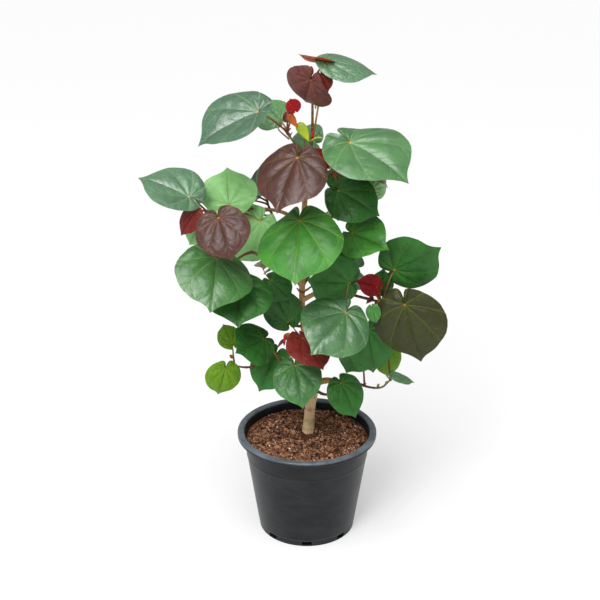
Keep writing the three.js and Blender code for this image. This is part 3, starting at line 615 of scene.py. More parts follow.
# The blade's columns crowd towards the tip and the stalk's joint, and its rings towards the margin.
BLADE_TURN = math.pi * np.linspace(0, 1, BLADE_COLUMNS // 2 + 1)
BLADE_HALF = BLADE_TURN - COLUMN_CROWD * np.sin(2 * BLADE_TURN)
BLADE_ANGLES = np.concatenate([BLADE_HALF, -BLADE_HALF[-2:0:-1]])
BLADE_SHARES = np.linspace(0, 1, BLADE_RINGS + 1)[1:] ** RING_CROWD


def vein_angle(angle, r):
    """How far an angle lies from the nearest main vein. The veins leave the joint a step apart and bend
    towards the tip as they go out."""
    bent = np.abs(angle) + VEIN_BEND * r * np.sin(np.abs(angle))
    return np.abs((bent * (1 / VEIN_STEP) + 0.5) % 1 - 0.5) * VEIN_STEP


def blade_sheet(leaf, dice):
    """The fine blade, ring by ring: the rule's sheet, drooping at its sides and tip, waved along its
    margin by three sines, hollowed along its main veins and puffed between them. Returns places across,
    along and above, and each ring's share of the reach."""
    angle, share = np.meshgrid(BLADE_ANGLES, BLADE_SHARES)
    waves = dice.uniform(0, 2 * math.pi, 4)
    notch = NOTCHED[0] * np.sin(9 * angle + waves[0]) + NOTCHED[1] * np.sin(17 * angle + waves[1])
    x, y = leaf.local(angle, share * (1 + notch * share**4))
    r = np.hypot(x / leaf.wide, y / leaf.wide)
    off = vein_angle(angle, r)
    fade = 1 - share**3
    puff = PUFF * np.sin(np.minimum(off / VEIN_STEP, 0.5) * math.pi) ** 0.6 * share**0.7 * fade
    ripple = RIPPLE * np.sin(24 * r + 9 * off + waves[2]) * share * fade
    side = -SIDE_DROP * (2 * x / leaf.wide) ** 2
    tip = -TIP_DROP * np.maximum(y / leaf.long - 0.5, 0) ** 2 * leaf.long / leaf.wide
    sway = WAVES[0] * np.sin(2 * angle + waves[2]) + WAVES[1] * np.sin(3 * angle + waves[3])
    edge = share**2 * sway + WAVES[2] * share**4 * np.sin(5 * angle + waves[0])
    h = leaf.blade(x, y) + leaf.wide * (puff + ripple + side + tip + edge)
    return x, y, h, share


def add_blade(shape, leaf, dice, cell, cells):
    """Adds a blade: an upper and an under sheet that meet along the margin, each laid out in a cell of
    the map that the colours are kept on, with its own places in blade widths on the map "leaf"."""
    x, y, h, share = blade_sheet(leaf, dice)
    upper = leaf.place(x, y, h)
    under = leaf.place(x, y, h - BLADE_THICK * (1 - share**6))[:-1]
    middle = np.stack([leaf.joint, leaf.joint - BLADE_THICK * leaf.up])
    verts = np.vstack([upper.reshape(-1, 3), under.reshape(-1, 3), middle])
    c, n = BLADE_COLUMNS, BLADE_COLUMNS * BLADE_RINGS
    top = rings(BLADE_RINGS, c)
    top_fan = fans(len(verts) - 2, 0, c, flip=True)
    low = np.where(top < n - c, top + n, top)[:, [0, 3, 2, 1]]
    low_fan = fans(len(verts) - 1, n, c)
    ahead = np.where(y > 0, y / leaf.ahead, y / leaf.wide)
    flat = np.stack([x / leaf.wide, ahead], -1).reshape(-1, 2)
    flat = np.vstack([flat, flat[:-c], np.zeros((2, 2))])
    wide = math.ceil(math.sqrt(cells))
    high = math.ceil(cells / wide)
    groups = []
    for k, (finish, sheets) in enumerate({"upper": (top, top_fan), "under": (low, low_fan)}.items()):
        corner = np.array([(2 * cell + k) % wide, (2 * cell + k) // wide])
        for faces in sheets:
            local = ((flat[faces] + CELL_START) / CELL_SIZE).clip(0.01, 0.99)
            maps = {"leaf": flat[faces], "OFBake": (corner + local) / (wide, high)}
            groups.append((faces, f"{leaf.look}_{finish}", maps))
    edge = np.concatenate([share.ravel(), share[:-1].ravel(), (0, 0)])
    shape.add(verts, *groups, edge=edge, tone=dice.uniform(0, 1))


class Value:
    """A number in a material, on which arithmetic adds Math nodes."""

    def __init__(self, finish, socket):
        self.finish, self.socket = finish, socket

    def __add__(self, other):
        return self.finish.maths("ADD", self, other)

    def __sub__(self, other):
        return self.finish.maths("SUBTRACT", self, other)

    def __rsub__(self, other):
        return self.finish.maths("SUBTRACT", other, self)

    def __mul__(self, other):
        return self.finish.maths("MULTIPLY", self, other)

    def __mod__(self, other):
        return self.finish.maths("FLOORED_MODULO", self, other)

    def __abs__(self):
        return self.finish.maths("ABSOLUTE", self)

    __radd__, __rmul__ = __add__, __mul__


class Finish:
    """A material made node by node round one Principled shader."""

    def __init__(self, name, **constants):
        self.material = bpy.data.materials.new(name)
        self.material.use_nodes = True
        self.tree = self.material.node_tree
        self.shader = self.tree.nodes["Principled BSDF"]
        for key, value in constants.items():
            self.shader.inputs[key.replace("_", " ")].default_value = value

    def node(self, kind, settings=None, **sockets):
        """A node with its settings made first, then the values or links of its sockets, which are told
        by name, or by place as i0, i1 and so on."""
        made = self.tree.nodes.new("ShaderNode" + kind)
        for key, value in (settings or {}).items():
            setattr(made, key, value)
        for key, value in sockets.items():
            place = int(key[1:]) if key[0] == "i" and key[1:].isdigit() else key
            self.feed(made.inputs[place], value)
        return made

    def feed(self, socket, value):
        """Links a value, a socket or a node's first output, or sets a constant."""
        if isinstance(value, Value):
            value = value.socket
        if isinstance(value, bpy.types.Node):
            value = value.outputs[0]
        if isinstance(value, bpy.types.NodeSocket):
            self.tree.links.new(value, socket)
        else:
            socket.default_value = value

    def maths(self, operation, *values):
        """The value of a Math node."""
        sockets = {f"i{k}": v for k, v in enumerate(values)}
        return Value(self, self.node("Math", {"operation": operation}, **sockets).outputs[0])

    def fade(self, value, low, high):
        """0 where a value is low and 1 where it is high, eased between. Low may be the larger."""
        node = self.node("MapRange", {"interpolation_type": "SMOOTHSTEP"}, Value=value)
        self.feed(node.inputs["From Min"], min(low, high))
        self.feed(node.inputs["From Max"], max(low, high))
        made = Value(self, node.outputs[0])
        return made if high > low else 1 - made

    def over(self, base, *coats):
        """A colour code with coats of (colour code, share) over it, each mixed in by its share."""
        colour = paint(base)
        for code, share in coats:
            node = self.node("Mix", {"data_type": "RGBA"}, i0=share, i6=colour, i7=paint(code))
            colour = node.outputs[2]
        return colour

    def attribute(self, name):
        """A value that the vertices hold."""
        return Value(self, self.node("Attribute", {"attribute_name": name}).outputs["Fac"])

    def where(self, scale=(1, 1, 1)):
        """Object coordinates in metres, stretched by a scale."""
        place = self.node("TexCoord").outputs["Object"]
        return self.node("Mapping", Vector=place, Scale=scale).outputs[0]

    def noise(self, place, scale, detail, rough=0.55):
        """Noise from 0 to 1, with that many waves to a unit of the place."""
        node = self.node("TexNoise", Vector=place, Scale=scale, Detail=detail, Roughness=rough)
        return Value(self, node.outputs[0])

    def cells(self, place, scale, feature="DISTANCE_TO_EDGE"):
        """How far a place is from the edge of its random cell, or with "F1" from the cell's point."""
        node = self.node("TexVoronoi", {"feature": feature}, Vector=place, Scale=scale)
        return Value(self, node.outputs["Distance"])

    def finish(self, colour, roughness=None, height=None, depth=0.5):
        """Feeds the shader its colour, roughness, and a bump of that many millimetres' height."""
        self.feed(self.shader.inputs["Base Color"], colour)
        if roughness is not None:
            self.feed(self.shader.inputs["Roughness"], roughness)
        if height is not None:
            bump = self.node("Bump", Height=height, Distance=depth * MM, Strength=1.0)
            self.feed(self.shader.inputs["Normal"], bump)
        return self.material


def leaf_finish(look, under):
    """A blade's finish, by its place in blade widths: main veins that leave the joint a step apart,
    side veins that arch outwards from one to the next, a net of veinlets, a mottled blade, a thin
    margin and an orange spot at the joint."""
    body, second, vein, below, rough, shine = LOOKS[look]
    if under:
        body = second = below
    f = Finish(f"{look}_{'under' if under else 'upper'}", Roughness=rough, Specular_IOR_Level=shine)
    place = f.node("UVMap", {"uv_map": "leaf"}).outputs[0]
    split = f.node("SeparateXYZ", Vector=place)
    x, y = abs(Value(f, split.outputs[0])), Value(f, split.outputs[1])
    r = f.maths("SQRT", x * x + y * y)
    angle = f.maths("ARCTAN2", x, y)
    bent = angle + r * VEIN_BEND * f.maths("SINE", angle)
    off = abs((bent * (1 / VEIN_STEP) + 0.5) % 1.0 - 0.5) * VEIN_STEP
    across = r * f.maths("SINE", off)
    main = f.fade(across - VEIN_WIDE * (1.1 - r), 0.003, -0.001)
    broad = f.noise(place, 5.0, 2.0)
    between = off * (2 / VEIN_STEP)
    arched = r * (1.0 - SIDE_ARCH * between * (2.0 - between))
    line = abs((arched + 0.06 * broad) * SIDE_VEINS % 1.0 - 0.5)
    side = f.fade(line, 0.045, 0.0) * (1.0 - 0.85 * between)
    net = f.fade(f.cells(place, 42.0), 0.1, 0.02)
    blotch = f.noise(place, 2.6, 4.0)
    colour = f.over(
        body,
        (second, f.fade(blotch + 0.3 * f.attribute("tone"), 0.4, 0.9)),
        (vein, net * 0.08 + side * (0.4 if under else 0.34)),
        (vein, f.fade(across, 0.03, 0.0) * 0.08),
        (vein, main * 0.62),
        (vein, f.fade(f.attribute("edge"), 0.98, 1.0) * 0.12),
        ("#c07a2c", f.fade(r, 0.026, 0.012) * 0.8),
    )
    quilt = f.fade(line, 0.0, 0.5) * f.fade(across, 0.0, 0.06)
    relief = main * 0.6 + side * 0.4 + net * 0.08 - quilt * 0.24
    relief = relief * (1.0 if under else -1.0) + 1.1 * broad + 0.1 * f.noise(place, 60.0, 2.0)
    return f.finish(colour, rough + 0.2 * blotch - 0.1, relief, 1.6)


def bark_finish():
    """Bark that goes from brown on the young wood to tan on the thick trunk, streaked along the limb,
    with pale pores and darker rings at the old joints."""
    f = Finish("bark", Roughness=0.8, Specular_IOR_Level=0.3)
    place = f.where()
    streak = f.noise(f.where((1, 1, 0.16)), 420.0, 4.0)
    fleck = f.noise(f.where((1, 1, 1.6)), 260.0, 3.0)
    patch = f.noise(place, 45.0, 3.0)
    pores = f.fade(f.cells(f.where((1, 1, 0.6)), 260.0, "F1"), 0.3, 0.2)
    girth, joint = f.attribute("girth"), f.attribute("joint")
    colour = f.over(
        "#5a3820",
        ("#b08858", f.fade(girth, 3.0, 6.0)),
        ("#e8c89c", f.fade(girth + 2 * patch, 8.0, 12.0)),
        ("#4c3424", f.fade(streak, 0.56, 0.7) * 0.4),
        ("#c8b090", f.fade(streak, 0.42, 0.3) * 0.4),
        ("#7c8468", f.fade(patch, 0.5, 0.7) * 0.4),
        ("#6c4c30", f.fade(fleck, 0.56, 0.68) * 0.45),
        ("#d4bc98", pores * 0.4),
        ("#48301c", joint * f.fade(streak, 0.4, 0.6) * 0.5),
    )
    relief = pores * 0.4 + streak * 0.9 + f.noise(place, 1500.0, 2.0) * 0.25
    return f.finish(colour, 0.72 + 0.2 * patch, relief, 0.5)


def stalk_finish():
    """Leaf stalks: reddish at the foot, olive-yellow towards the blade, finely ribbed."""
    f = Finish("stalk", Roughness=0.5, Specular_IOR_Level=0.4)
    share, tone = f.attribute("along"), f.attribute("tone")
    mottle = f.noise(f.where((1, 1, 0.4)), 300.0, 3.0)
    colour = f.over(
        "#7c3c28",
        ("#8c8440", f.fade(share + 0.5 * mottle - 0.5 * tone, 0.3, 0.9)),
        ("#5c3420", f.fade(share, 0.14, 0.0) * 0.6),
        ("#54301c", f.fade(mottle, 0.55, 0.75) * 0.4),
    )
    return f.finish(colour, 0.45 + 0.2 * mottle, mottle, 0.3)


def stem_finish():
    """Young wood: dark reddish brown, greener towards its tip, with pale pores."""
    f = Finish("stem", Roughness=0.65, Specular_IOR_Level=0.35)
    mottle = f.noise(f.where((1, 1, 0.4)), 220.0, 3.0)
    pores = f.fade(f.cells(f.where(), 420.0, "F1"), 0.28, 0.2)
    colour = f.over(
        "#64402a",
        ("#6c5c34", f.fade(f.attribute("along") + 0.4 * mottle, 0.6, 1.2)),
        ("#3c2418", f.fade(mottle, 0.5, 0.7) * 0.5),
        ("#b89c70", pores * 0.4),
    )
    return f.finish(colour, 0.55 + 0.25 * mottle, mottle + pores * 0.4, 0.4)


def young_finish(name, foot, tip):
    """A stipule or bud: one colour at the foot and another at the tip, ribbed along its length."""
    f = Finish("young_" + name, Roughness=0.4, Specular_IOR_Level=0.4)
    grain = f.noise(f.where(), 260.0, 3.0)
    ripe = f.fade(f.attribute("along") + 0.5 * grain - 0.25, 0.2, 0.9)
    colour = f.over(foot, (tip, ripe), ("#f0e0b0", f.fade(grain, 0.62, 0.8) * 0.3))
    return f.finish(colour, 0.3 + 0.3 * grain, grain, 0.3)


def mix_finish(name, dark, light, pale=0.0):
    """Coir and bark fines: each grain its own tint between two browns, damp and dry by patches, with
    pale specks by a share."""
    f = Finish(name, Roughness=0.9, Specular_IOR_Level=0.25)
    place = f.where()
    grain, patch = f.noise(place, 700.0, 4.0), f.noise(place, 38.0, 3.0)
    colour = f.over(
        dark,
        (light, f.fade(f.attribute("tone") + 0.8 * grain - 0.4, 0.1, 0.9)),
        (dark, f.fade(patch, 0.45, 0.65) * 0.5),
        ("#f4f0e8", f.fade(f.cells(place, 300.0, "F1"), 0.2, 0.12) * pale),
    )
    return f.finish(colour, 0.82 + 0.2 * grain, grain, 0.8)


def pot_finish():
    """Black moulded plastic gone charcoal: finely pebbled, paler and blue on its lip from wear and a painted
    sheen of reflected light, with faint scuffs round the wall, a painted highlight along the step above the
    foot and a film of dust towards it."""
    f = Finish("pot", Roughness=0.42, Specular_IOR_Level=0.25)
    place = f.where()
    high = Value(f, f.node("SeparateXYZ", Vector=place).outputs[2])
    cloud = f.noise(f.where((1, 1, 2.2)), 16.0, 5.0, 0.6)
    pebble = f.noise(place, 1400.0, 2.0)
    scuff = f.fade(f.noise(f.where((1, 1, 14)), 30.0, 5.0, 0.7), 0.55, 0.74)
    lip = f.fade(high, 0.2245, 0.228)
    # Where the painted highlight along the step above the foot goes.
    line = f.fade(abs(high - 0.0136), 0.0012, 0.0004)
    colour = f.over(
        "#101114",
        ("#1c1f23", f.fade(cloud, 0.35, 0.65)),
        # The lip: paler and blue, partly wear and partly a painted sheen of reflected light.
        ("#626b72", lip * (0.55 + 0.45 * f.fade(cloud, 0.4, 0.6))),
        # Faint scuffs round the wall, and the painted highlight along the step above the foot.
        ("#6c7074", scuff * 0.12 + line * 0.4),
        ("#5e5a56", f.fade(high + 0.02 * cloud, 0.03, 0.0) * 0.12),
        ("#8c9298", f.fade(f.noise(place, 900.0, 2.0), 0.68, 0.8) * 0.1),
    )
    roughness = 0.26 + 0.2 * cloud + 0.1 * scuff - 0.08 * lip
    return f.finish(colour, roughness, pebble * 0.6 + scuff * 0.4, 0.1)


def make_finishes():
    """Every finish by name."""
    made = {"bark": bark_finish(), "stalk": stalk_finish(), "stem": stem_finish(), "pot": pot_finish()}
    for look in LOOKS:
        made[look + "_upper"] = leaf_finish(look, False)
        made[look + "_under"] = leaf_finish(look, True)
    made |= {name: young_finish(name, *codes) for name, codes in YOUNG_LOOKS.items()}
    made |= {name: mix_finish(name, *codes) for name, codes in MIX_LOOKS.items()}
    return made


def bark_relief(places, far, girth):
    """Bark in millimetres: long ridges and fine grain from noise stretched along the limb, and swollen
    rings at the old joints."""
    ridges = 0.5 * noise(places / (1, 1, 5), 4, 1) + 0.22 * noise(places / (1, 1, 3), 1.6, 2)
    lumps = 0.7 * noise(places, 22, 3)
    return (ridges + lumps + 0.4 * joint_rings(far)) * np.clip(girth / 11, 0.3, 1) - 0.3


def stem_relief(places, far, girth):
    """Young wood in millimetres, as bark but smoother and alike at every girth."""
    return 0.3 * joint_rings(far) + 0.12 * noise(places, 3)


def joint_rings(far):
    """1 at the old joints along a limb, which are uneven steps apart, falling off as exp(-d^2), where d
    is the distance in ring widths."""
    step = far / JOINT_STEP + 0.3 * np.sin(far / 31)
    return np.exp(-(((step % 1 - 0.5) * JOINT_STEP / JOINT_WIDE) ** 2))


def add_wood(shape, axis, sides, flare=0.0):
    """Adds a limb with bark, in equal steps along it, with a foot that flares by that many millimetres."""
    rough = travel(np.asarray(axis, float)[:, :3])[-1]
    pieces = len(axis) - 1
    points = along(axis, round(rough / BARK_STEP / pieces) * pieces)
    far = travel(points[:, :3])
    points[:, 3] += flare * np.exp(-((far / FLARE_HEIGHT) ** 1.5))
    joint = np.append(np.repeat(joint_rings(far), sides), (0, 0))
    add_limb(shape, "bark", points, sides, relief=bark_relief, joint=joint)


def add_sliver(shape, finish, foot, tip, wide, flat, sides=8):
    """Adds a bud or a stipule: a bowed limb that swells from its foot and closes to a point, with as
    many steps as sides."""
    foot, tip = np.array(foot, float), np.array(tip, float)
    t = np.linspace(0, 1, sides + 1)[:, None]
    up = (0, 0, SLIVER_BOW * np.linalg.norm(tip - foot))
    line = foot * (1 - t) + tip * t + up * np.sin(math.pi * t)
    girth = wide / 2 * (np.sin(math.pi * t**0.7) ** 0.8 * 0.92 + 0.08 * (1 - t))
    add_limb(shape, finish, np.hstack([line, np.maximum(girth, 0.15)]), sides, flat)


def build_crown(finishes):
    """The leaves of each mass, the stems and stalks that bear them, and all stipules and buds."""
    dice = np.random.default_rng(SEED)
    leaves = grow_leaves()
    young = Shape(finishes)
    for mass, axis in STEMS.items():
        mine = [leaf for leaf in leaves if leaf.mass == mass]
        blades, stalks = Shape(finishes), Shape(finishes)
        stem = along(axis, STEM_FINE)
        add_limb(stalks, "stem", stem, STEM_SIDES, relief=stem_relief, tone=0.0)
        end = stem[-1, :3]
        way = unit(stem[-1, :3] - stem[-3, :3])
        add_sliver(young, "olive_bud", end - way, end + END_BUD_LONG * way, END_BUD_WIDE, 0.8)
        for k, leaf in enumerate(mine):
            add_blade(blades, leaf, dice, k, 2 * len(mine))
            add_stalk(stalks, young, leaf, dice)
        blades.piece("leaves_" + mass, SLOTS.get(mass, "leaf_green"), "foliage_" + mass, sharp=70)
        stalks.piece("stalks_" + mass, "bark", "foliage_" + mass)
    for k, axis in enumerate(SHOOTS):
        add_limb(young, "stalk", along(axis, SHOOT_FINE), STALK_SIDES, tone=k / len(SHOOTS))
    for foot, tip, wide, flat, look in YOUNG:
        add_sliver(young, look, foot, tip, wide, flat, 12)
    young.piece("stipules_and_buds", "leaf_lime", *("foliage_" + mass for mass in STEMS))


def add_stalk(stalks, young, leaf, dice):
    """Adds a leaf's stalk, swollen at its foot, with a stipule on either side of the foot and a bud."""
    line = leaf.stalk_line(STALK_FINE, sink=1.5, under=1.2)
    foot, way = line[0, :3], unit(line[1, :3] - line[0, :3])
    line[:, 3] *= 1 + 0.5 * np.exp(-travel(line[:, :3]) / 3)
    add_limb(stalks, "stalk", line, STALK_SIDES, tone=dice.uniform(0, 1))
    for hand in (-1, 1):
        side = unit(np.cross(way, (0, 0, 1))) * hand
        root = foot + side * 1.5 + way * 2
        end = root + (side + 0.6 * way + (0, 0, 0.4)) * dice.uniform(*STIPULE_LONG)
        add_sliver(young, dice.choice(["olive_bud", "maroon_bud"]), root, end, STIPULE_WIDE, 0.3, 6)
    add_sliver(young, "olive_bud", foot + way, foot + way * 3 + (0, 0, 6), 4, 0.9, 6)


def build_wood(finishes):
    """The trunk and the boughs, with their bark."""
    trunk, boughs = Shape(finishes), Shape(finishes)
    add_wood(trunk, TRUNK, TRUNK_SIDES, FLARE)
    trunk.piece("trunk_bark", "bark", "trunk")
    for axis in BOUGHS.values():
        add_wood(boughs, axis, BOUGH_SIDES)
    boughs.piece("bough_bark", "bark", *("bough_" + name for name in BOUGHS))


def lathe(shape, finish, profile, angles, bend):
    """Adds a closed turned shape from a profile of (radius, height) that starts and ends on the axis,
    with a bend of (radius, angle, height) that moves its places. Angles go anticlockwise."""
    r, z = np.array(profile, float).T
    a, out, up = np.broadcast_arrays(angles, r[1:-1, None], z[1:-1, None])
    out, up = bend(out, a, up)
    verts = np.stack([out * np.sin(a), -out * np.cos(a), up], -1).reshape(-1, 3)
    n, c = len(verts), len(angles)
    verts = np.vstack([verts, (0, 0, z[0]), (0, 0, z[-1])])
    ends = np.vstack([fans(n, 0, c, flip=True), fans(n + 1, n - c, c)])
    shape.add(verts, (rings(len(r) - 2, c), finish), (ends, finish), tone=0.5)


def wall_radius(z):
    """The pot wall's outer radius at a height."""
    r, high = np.array(WALL, float).T
    return np.interp(z, high, r)


def arc(centre, radius, first, last, steps):
    """Profile points round a centre from one angle to another, in degrees from straight out."""
    a = np.radians(np.linspace(first, last, steps + 1))
    return [(centre[0] + radius * c, centre[1] + radius * s) for c, s in zip(np.cos(a), np.sin(a))]


def pot_profile():
    """The pot's outline as (radius, height), from the middle of its underside out and up the wall, over
    the lip and down the inside to the middle of its floor."""
    deep, under = BASE_RADIUS - NOTCH_DEEP, POT_HEIGHT - LIP_DEPTH
    foot, ledge = wall_radius(FOOT_HEIGHT), wall_radius(LEDGE)
    foot_rows = [(-0.8, 0), (-0.2, 0.4), (-0.2, NOTCH_SHADE_SHEET), (0, NOTCH_SHADE_SHEET + 0.1), (0.2, 6), (0.4, NOTCH_HIGH - 0.4),
                 (0.4, NOTCH_HIGH), (0.5, FOOT_HEIGHT - 1.4)]
    base = [(0, 0), (60, 0), (deep - 0.4, 0), *((BASE_RADIUS + out, z) for out, z in foot_rows)]
    step = [(foot - 1.2, FOOT_HEIGHT - 0.9), *arc((foot - 0.8, FOOT_HEIGHT), 0.8, -60, 0, 3)]
    wall = [(wall_radius(z), z) for z in np.linspace(FOOT_HEIGHT + 2, LEDGE - 1.6, 34)]
    ledge_rows = [(0.1, -0.8), (0.7, -0.4), (0.8, 0.2), (0.7, 1.2)]
    ridge = [(ledge + out, LEDGE + up) for out, up in ledge_rows]
    neck = [(wall_radius(z) + 0.2, z) for z in np.linspace(LEDGE + 6, under - 1, 10)]
    lip = [(RIM_RADIUS - 3, under - 0.4), *arc((RIM_RADIUS - 1.6, under + 1.4), 1.6, -80, 0, 4),
           (RIM_RADIUS, under + 4), *arc((RIM_RADIUS - 3.5, POT_HEIGHT - 3.5), 3.5, 0, 80, 6),
           (RIM_RADIUS - 8, POT_HEIGHT), (RIM_RADIUS - 11, POT_HEIGHT - 0.3),
           *arc((RIM_RADIUS - 12, POT_HEIGHT - 3), 2.6, 90, 160, 4), (LIP_INNER, under + 2)]
    inside = [(wall_radius(z) - POT_WALL, z) for z in np.linspace(under - 4, FOOT_HEIGHT + 8, 16)]
    floor = [(BASE_RADIUS - 12, POT_FLOOR), (50, POT_FLOOR), (0, POT_FLOOR)]
    return [*base, *step, *wall, *ridge, *neck, *lip, *inside, *floor]


def build_pot(finishes):
    """The pot: a tapering wall with a faint ledge below its broad rolled lip, and a foot with notches, each
    closed at its bottom by a thin dark sheet that stands in for the shade inside the notch."""
    half = math.asin(NOTCH_WIDE / 2 / BASE_RADIUS)
    start = half + math.radians(0.15)
    notch = np.linspace(-half, half, NOTCH_COLUMNS)
    plain = np.linspace(start, 2 * math.pi / NOTCHES - start, PLAIN_COLUMNS)
    sector = np.concatenate([notch, plain])
    angles = (np.arange(NOTCHES)[:, None] * 2 * math.pi / NOTCHES + sector).ravel()
    in_notch = np.tile(np.arange(len(sector)) < NOTCH_COLUMNS, NOTCHES)
    deep = BASE_RADIUS - NOTCH_DEEP

    def bend(r, a, z):
        # Each notch is cut above the thin dark sheet that stands in for the shade inside it.
        cut = in_notch & (z > NOTCH_SHADE_SHEET) & (z < NOTCH_HIGH - 0.1) & (r > deep)
        ceiling = in_notch & (np.abs(z - (NOTCH_HIGH - 0.4)) < 0.01)
        r, z = np.where(cut, deep, r), np.where(ceiling, NOTCH_HIGH - 0.02, z)
        return r + 0.12 * np.sin(3 * a + z / 60) * (z > 20), z

    pot = Shape(finishes)
    lathe(pot, "pot", pot_profile(), angles, bend)
    pot.piece("pot_shell", "pot", "pot", sharp=35)


SOIL_RADIUS = float(wall_radius(SOIL_LEVEL - SOIL_MOUND)) - POT_WALL - SOIL_GAP


def soil_height(x, y):
    """How high the potting mix lies: heaped towards the trunk, with lumps of three sizes."""
    places = np.stack(np.broadcast_arrays(x, y, 0.0), -1)
    r = np.hypot(x, y)
    lumps = sum(high * noise(places, size, seed) for high, size, seed in SOIL_LUMPS)
    heap = [SOIL_LEVEL, SOIL_LEVEL, SOIL_LEVEL - 2, SOIL_LEVEL - SOIL_MOUND]
    return np.interp(r, [0, 40, 90, SOIL_RADIUS], heap) + lumps * np.clip((SOIL_RADIUS - r) / 4, 0, 1)


def turns(dice, count):
    """Random turning matrices: the rotations of random unit quaternions."""
    w, x, y, z = unit(dice.normal(size=(count, 4))).T
    rows = [[1 - 2 * (y * y + z * z), 2 * (x * y - z * w), 2 * (x * z + y * w)],
            [2 * (x * y + z * w), 1 - 2 * (x * x + z * z), 2 * (y * z - x * w)],
            [2 * (x * z - y * w), 2 * (y * z + x * w), 1 - 2 * (x * x + y * y)]]
    return np.moveaxis(np.array(rows), -1, 0)


def scatter(shape, finish, dice, count, size, squash):
    """Adds grains to a shape, most of them small: icosahedra, each stretched, dented and turned at
    random, half sunk in the mix between the trunk and the wall, with a random value "tone"."""
    g = (1 + math.sqrt(5)) / 2
    ico = unit([(0, 1, g), (0, -1, g), (0, 1, -g), (0, -1, -g),
                (1, g, 0), (-1, g, 0), (1, -g, 0), (-1, -g, 0),
                (g, 0, 1), (-g, 0, 1), (g, 0, -1), (-g, 0, -1)])
    near = ico @ ico.T > 0.4
    faces = [(i, j, k) for i, j, k in np.ndindex(12, 12, 12)
             if i < min(j, k) and j != k and near[i, j] and near[j, k] and near[k, i]
             and np.linalg.det(ico[[i, j, k]]) > 0]
    girth = size[0] * (size[1] / size[0]) ** (dice.uniform(0, 1, (count, 1, 1)) ** 2.2)
    body = ico * dice.uniform(0.75, 1.15, (count, 12, 1)) * dice.uniform(squash, 1, (count, 1, 3)) * girth
    r = np.sqrt(dice.uniform((TRUNK_ROOM / SOIL_RADIUS) ** 2, 0.97, count)) * (SOIL_RADIUS - 2)
    a = dice.uniform(0, 2 * math.pi, count)
    x, y = r * np.cos(a), r * np.sin(a)
    at = np.stack([x, y, soil_height(x, y) + 0.3 * girth[:, 0, 0]], -1)
    verts = np.einsum("nij,nkj->nki", turns(dice, count), body) + at[:, None]
    tris = (np.array(faces) + 12 * np.arange(count)[:, None, None]).reshape(-1, 3)
    shape.add(verts.reshape(-1, 3), (tris, finish), tone=np.repeat(dice.uniform(0, 1, count), 12))


def add_fibre(shape, dice):
    """Adds a coir fibre that lies bowed on the mix, with its middle a little off it."""
    r = 20 + (SOIL_RADIUS - 34) * math.sqrt(dice.uniform())
    a, turn = dice.uniform(0, 2 * math.pi, 2)
    t = np.linspace(-1, 1, 6)
    bow, long = dice.uniform(-0.5, 0.5), dice.uniform(*FIBRE_HALF)
    across = long * t
    aside = long * bow * (t**2 - 0.5)
    x = r * math.cos(a) + across * math.cos(turn) - aside * math.sin(turn)
    y = r * math.sin(a) + across * math.sin(turn) + aside * math.cos(turn)
    z = soil_height(x, y).max() + 0.8 + dice.uniform(0, 1.5) * (1 - t**2)
    girth = FIBRE_RADIUS[0] + FIBRE_RADIUS[1] * (1 - t**4)
    add_limb(shape, "fibre", np.stack([x, y, z, girth], -1), 4, tone=dice.uniform(0, 1))


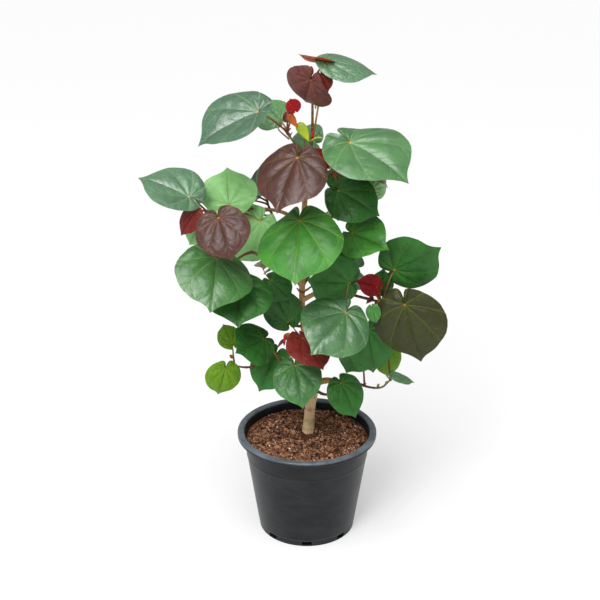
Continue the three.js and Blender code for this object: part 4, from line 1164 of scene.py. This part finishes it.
def build_soil(finishes):
    """The potting mix: a lumpy bed, crumbs and perlite strewn on it, and coir fibres."""
    dice = np.random.default_rng(SEED + 1)
    heights = (23, 60, 110, 164, 180, SOIL_LEVEL - SOIL_MOUND)
    side = [(wall_radius(z) - POT_WALL - SOIL_GAP, z) for z in heights]
    tops = [(r, SOIL_LEVEL) for r in np.linspace(SOIL_RADIUS - 1.2, 1.5, BED_RINGS)]
    floor = POT_FLOOR + 0.5

    def bend(r, a, z):
        lies = soil_height(r * np.sin(a), -r * np.cos(a))
        return r, np.where(z >= SOIL_LEVEL, lies, z)

    bed = Shape(finishes)
    profile = [(0, floor), (BASE_RADIUS - 13, floor), *side, *tops, (0, SOIL_LEVEL)]
    lathe(bed, "bed", profile, np.linspace(0, 2 * math.pi, BED_COLUMNS, endpoint=False), bend)
    bed.piece("soil_bed", "potting_mix", "soil")
    for name, finish, count, size, squash in GRAINS:
        grains = Shape(finishes)
        scatter(grains, finish, dice, count, size, squash)
        grains.piece(name, "potting_mix", "soil")
    fibres = Shape(finishes)
    for _ in range(FIBRES):
        add_fibre(fibres, dice)
    fibres.piece("soil_fibres", "potting_mix", "soil")


def light(name, kind, at, aim, strength, sizes):
    """A light of a kind at a place in metres, aimed at another, with its sizes by name."""
    data = bpy.data.lights.new(name, kind)
    data.energy = strength
    for key, value in sizes.items():
        setattr(data, key, value)
    lamp = bpy.data.objects.new(name, data)
    lamp.location = at
    lamp.rotation_euler = (Vector(aim) - Vector(at)).to_track_quat("-Z", "Y").to_euler()
    bpy.context.scene.collection.objects.link(lamp)


def build_studio():
    """A pale floor that glows a little, light from all round, from above and from the front on the left,
    and the photograph's camera."""
    scene = bpy.context.scene
    mesh = bpy.data.meshes.new("floor")
    corners = [(-1, -1, 0), (1, -1, 0), (1, 1, 0), (-1, 1, 0)]
    mesh.from_pydata(np.multiply(corners, FLOOR_HALF).tolist(), [], [(0, 1, 2, 3)])
    floor = bpy.data.objects.new("floor", mesh)
    scene.collection.objects.link(floor)
    paper = Finish("paper", Roughness=0.9, Specular_IOR_Level=0.1, Emission_Strength=FLOOR_GLOW)
    paper.feed(paper.shader.inputs["Emission Color"], paint("#ffffff"))
    mesh.materials.append(paper.finish(paint("#bababa")))
    world = bpy.data.worlds.new("studio")
    world.use_nodes = True
    around = world.node_tree.nodes["Background"].inputs
    around["Color"].default_value = paint("#ffffff")
    around["Strength"].default_value = WORLD_LIGHT
    scene.world = world
    scene.view_settings.view_transform = "Standard"
    for row in LIGHTS:
        light(*row)
    lens = bpy.data.cameras.new("camera")
    lens.lens, lens.sensor_width = CAMERA_LENS, CAMERA_SENSOR
    camera = bpy.data.objects.new("camera", lens)
    camera.location = [c * MM for c in CAMERA_AT]
    camera.rotation_euler = (math.radians(90 - CAMERA_PITCH), 0, 0)
    scene.collection.objects.link(camera)
    scene.camera = camera


finishes = make_finishes()
build_wood(finishes)
build_crown(finishes)
build_pot(finishes)
build_soil(finishes)
build_studio()
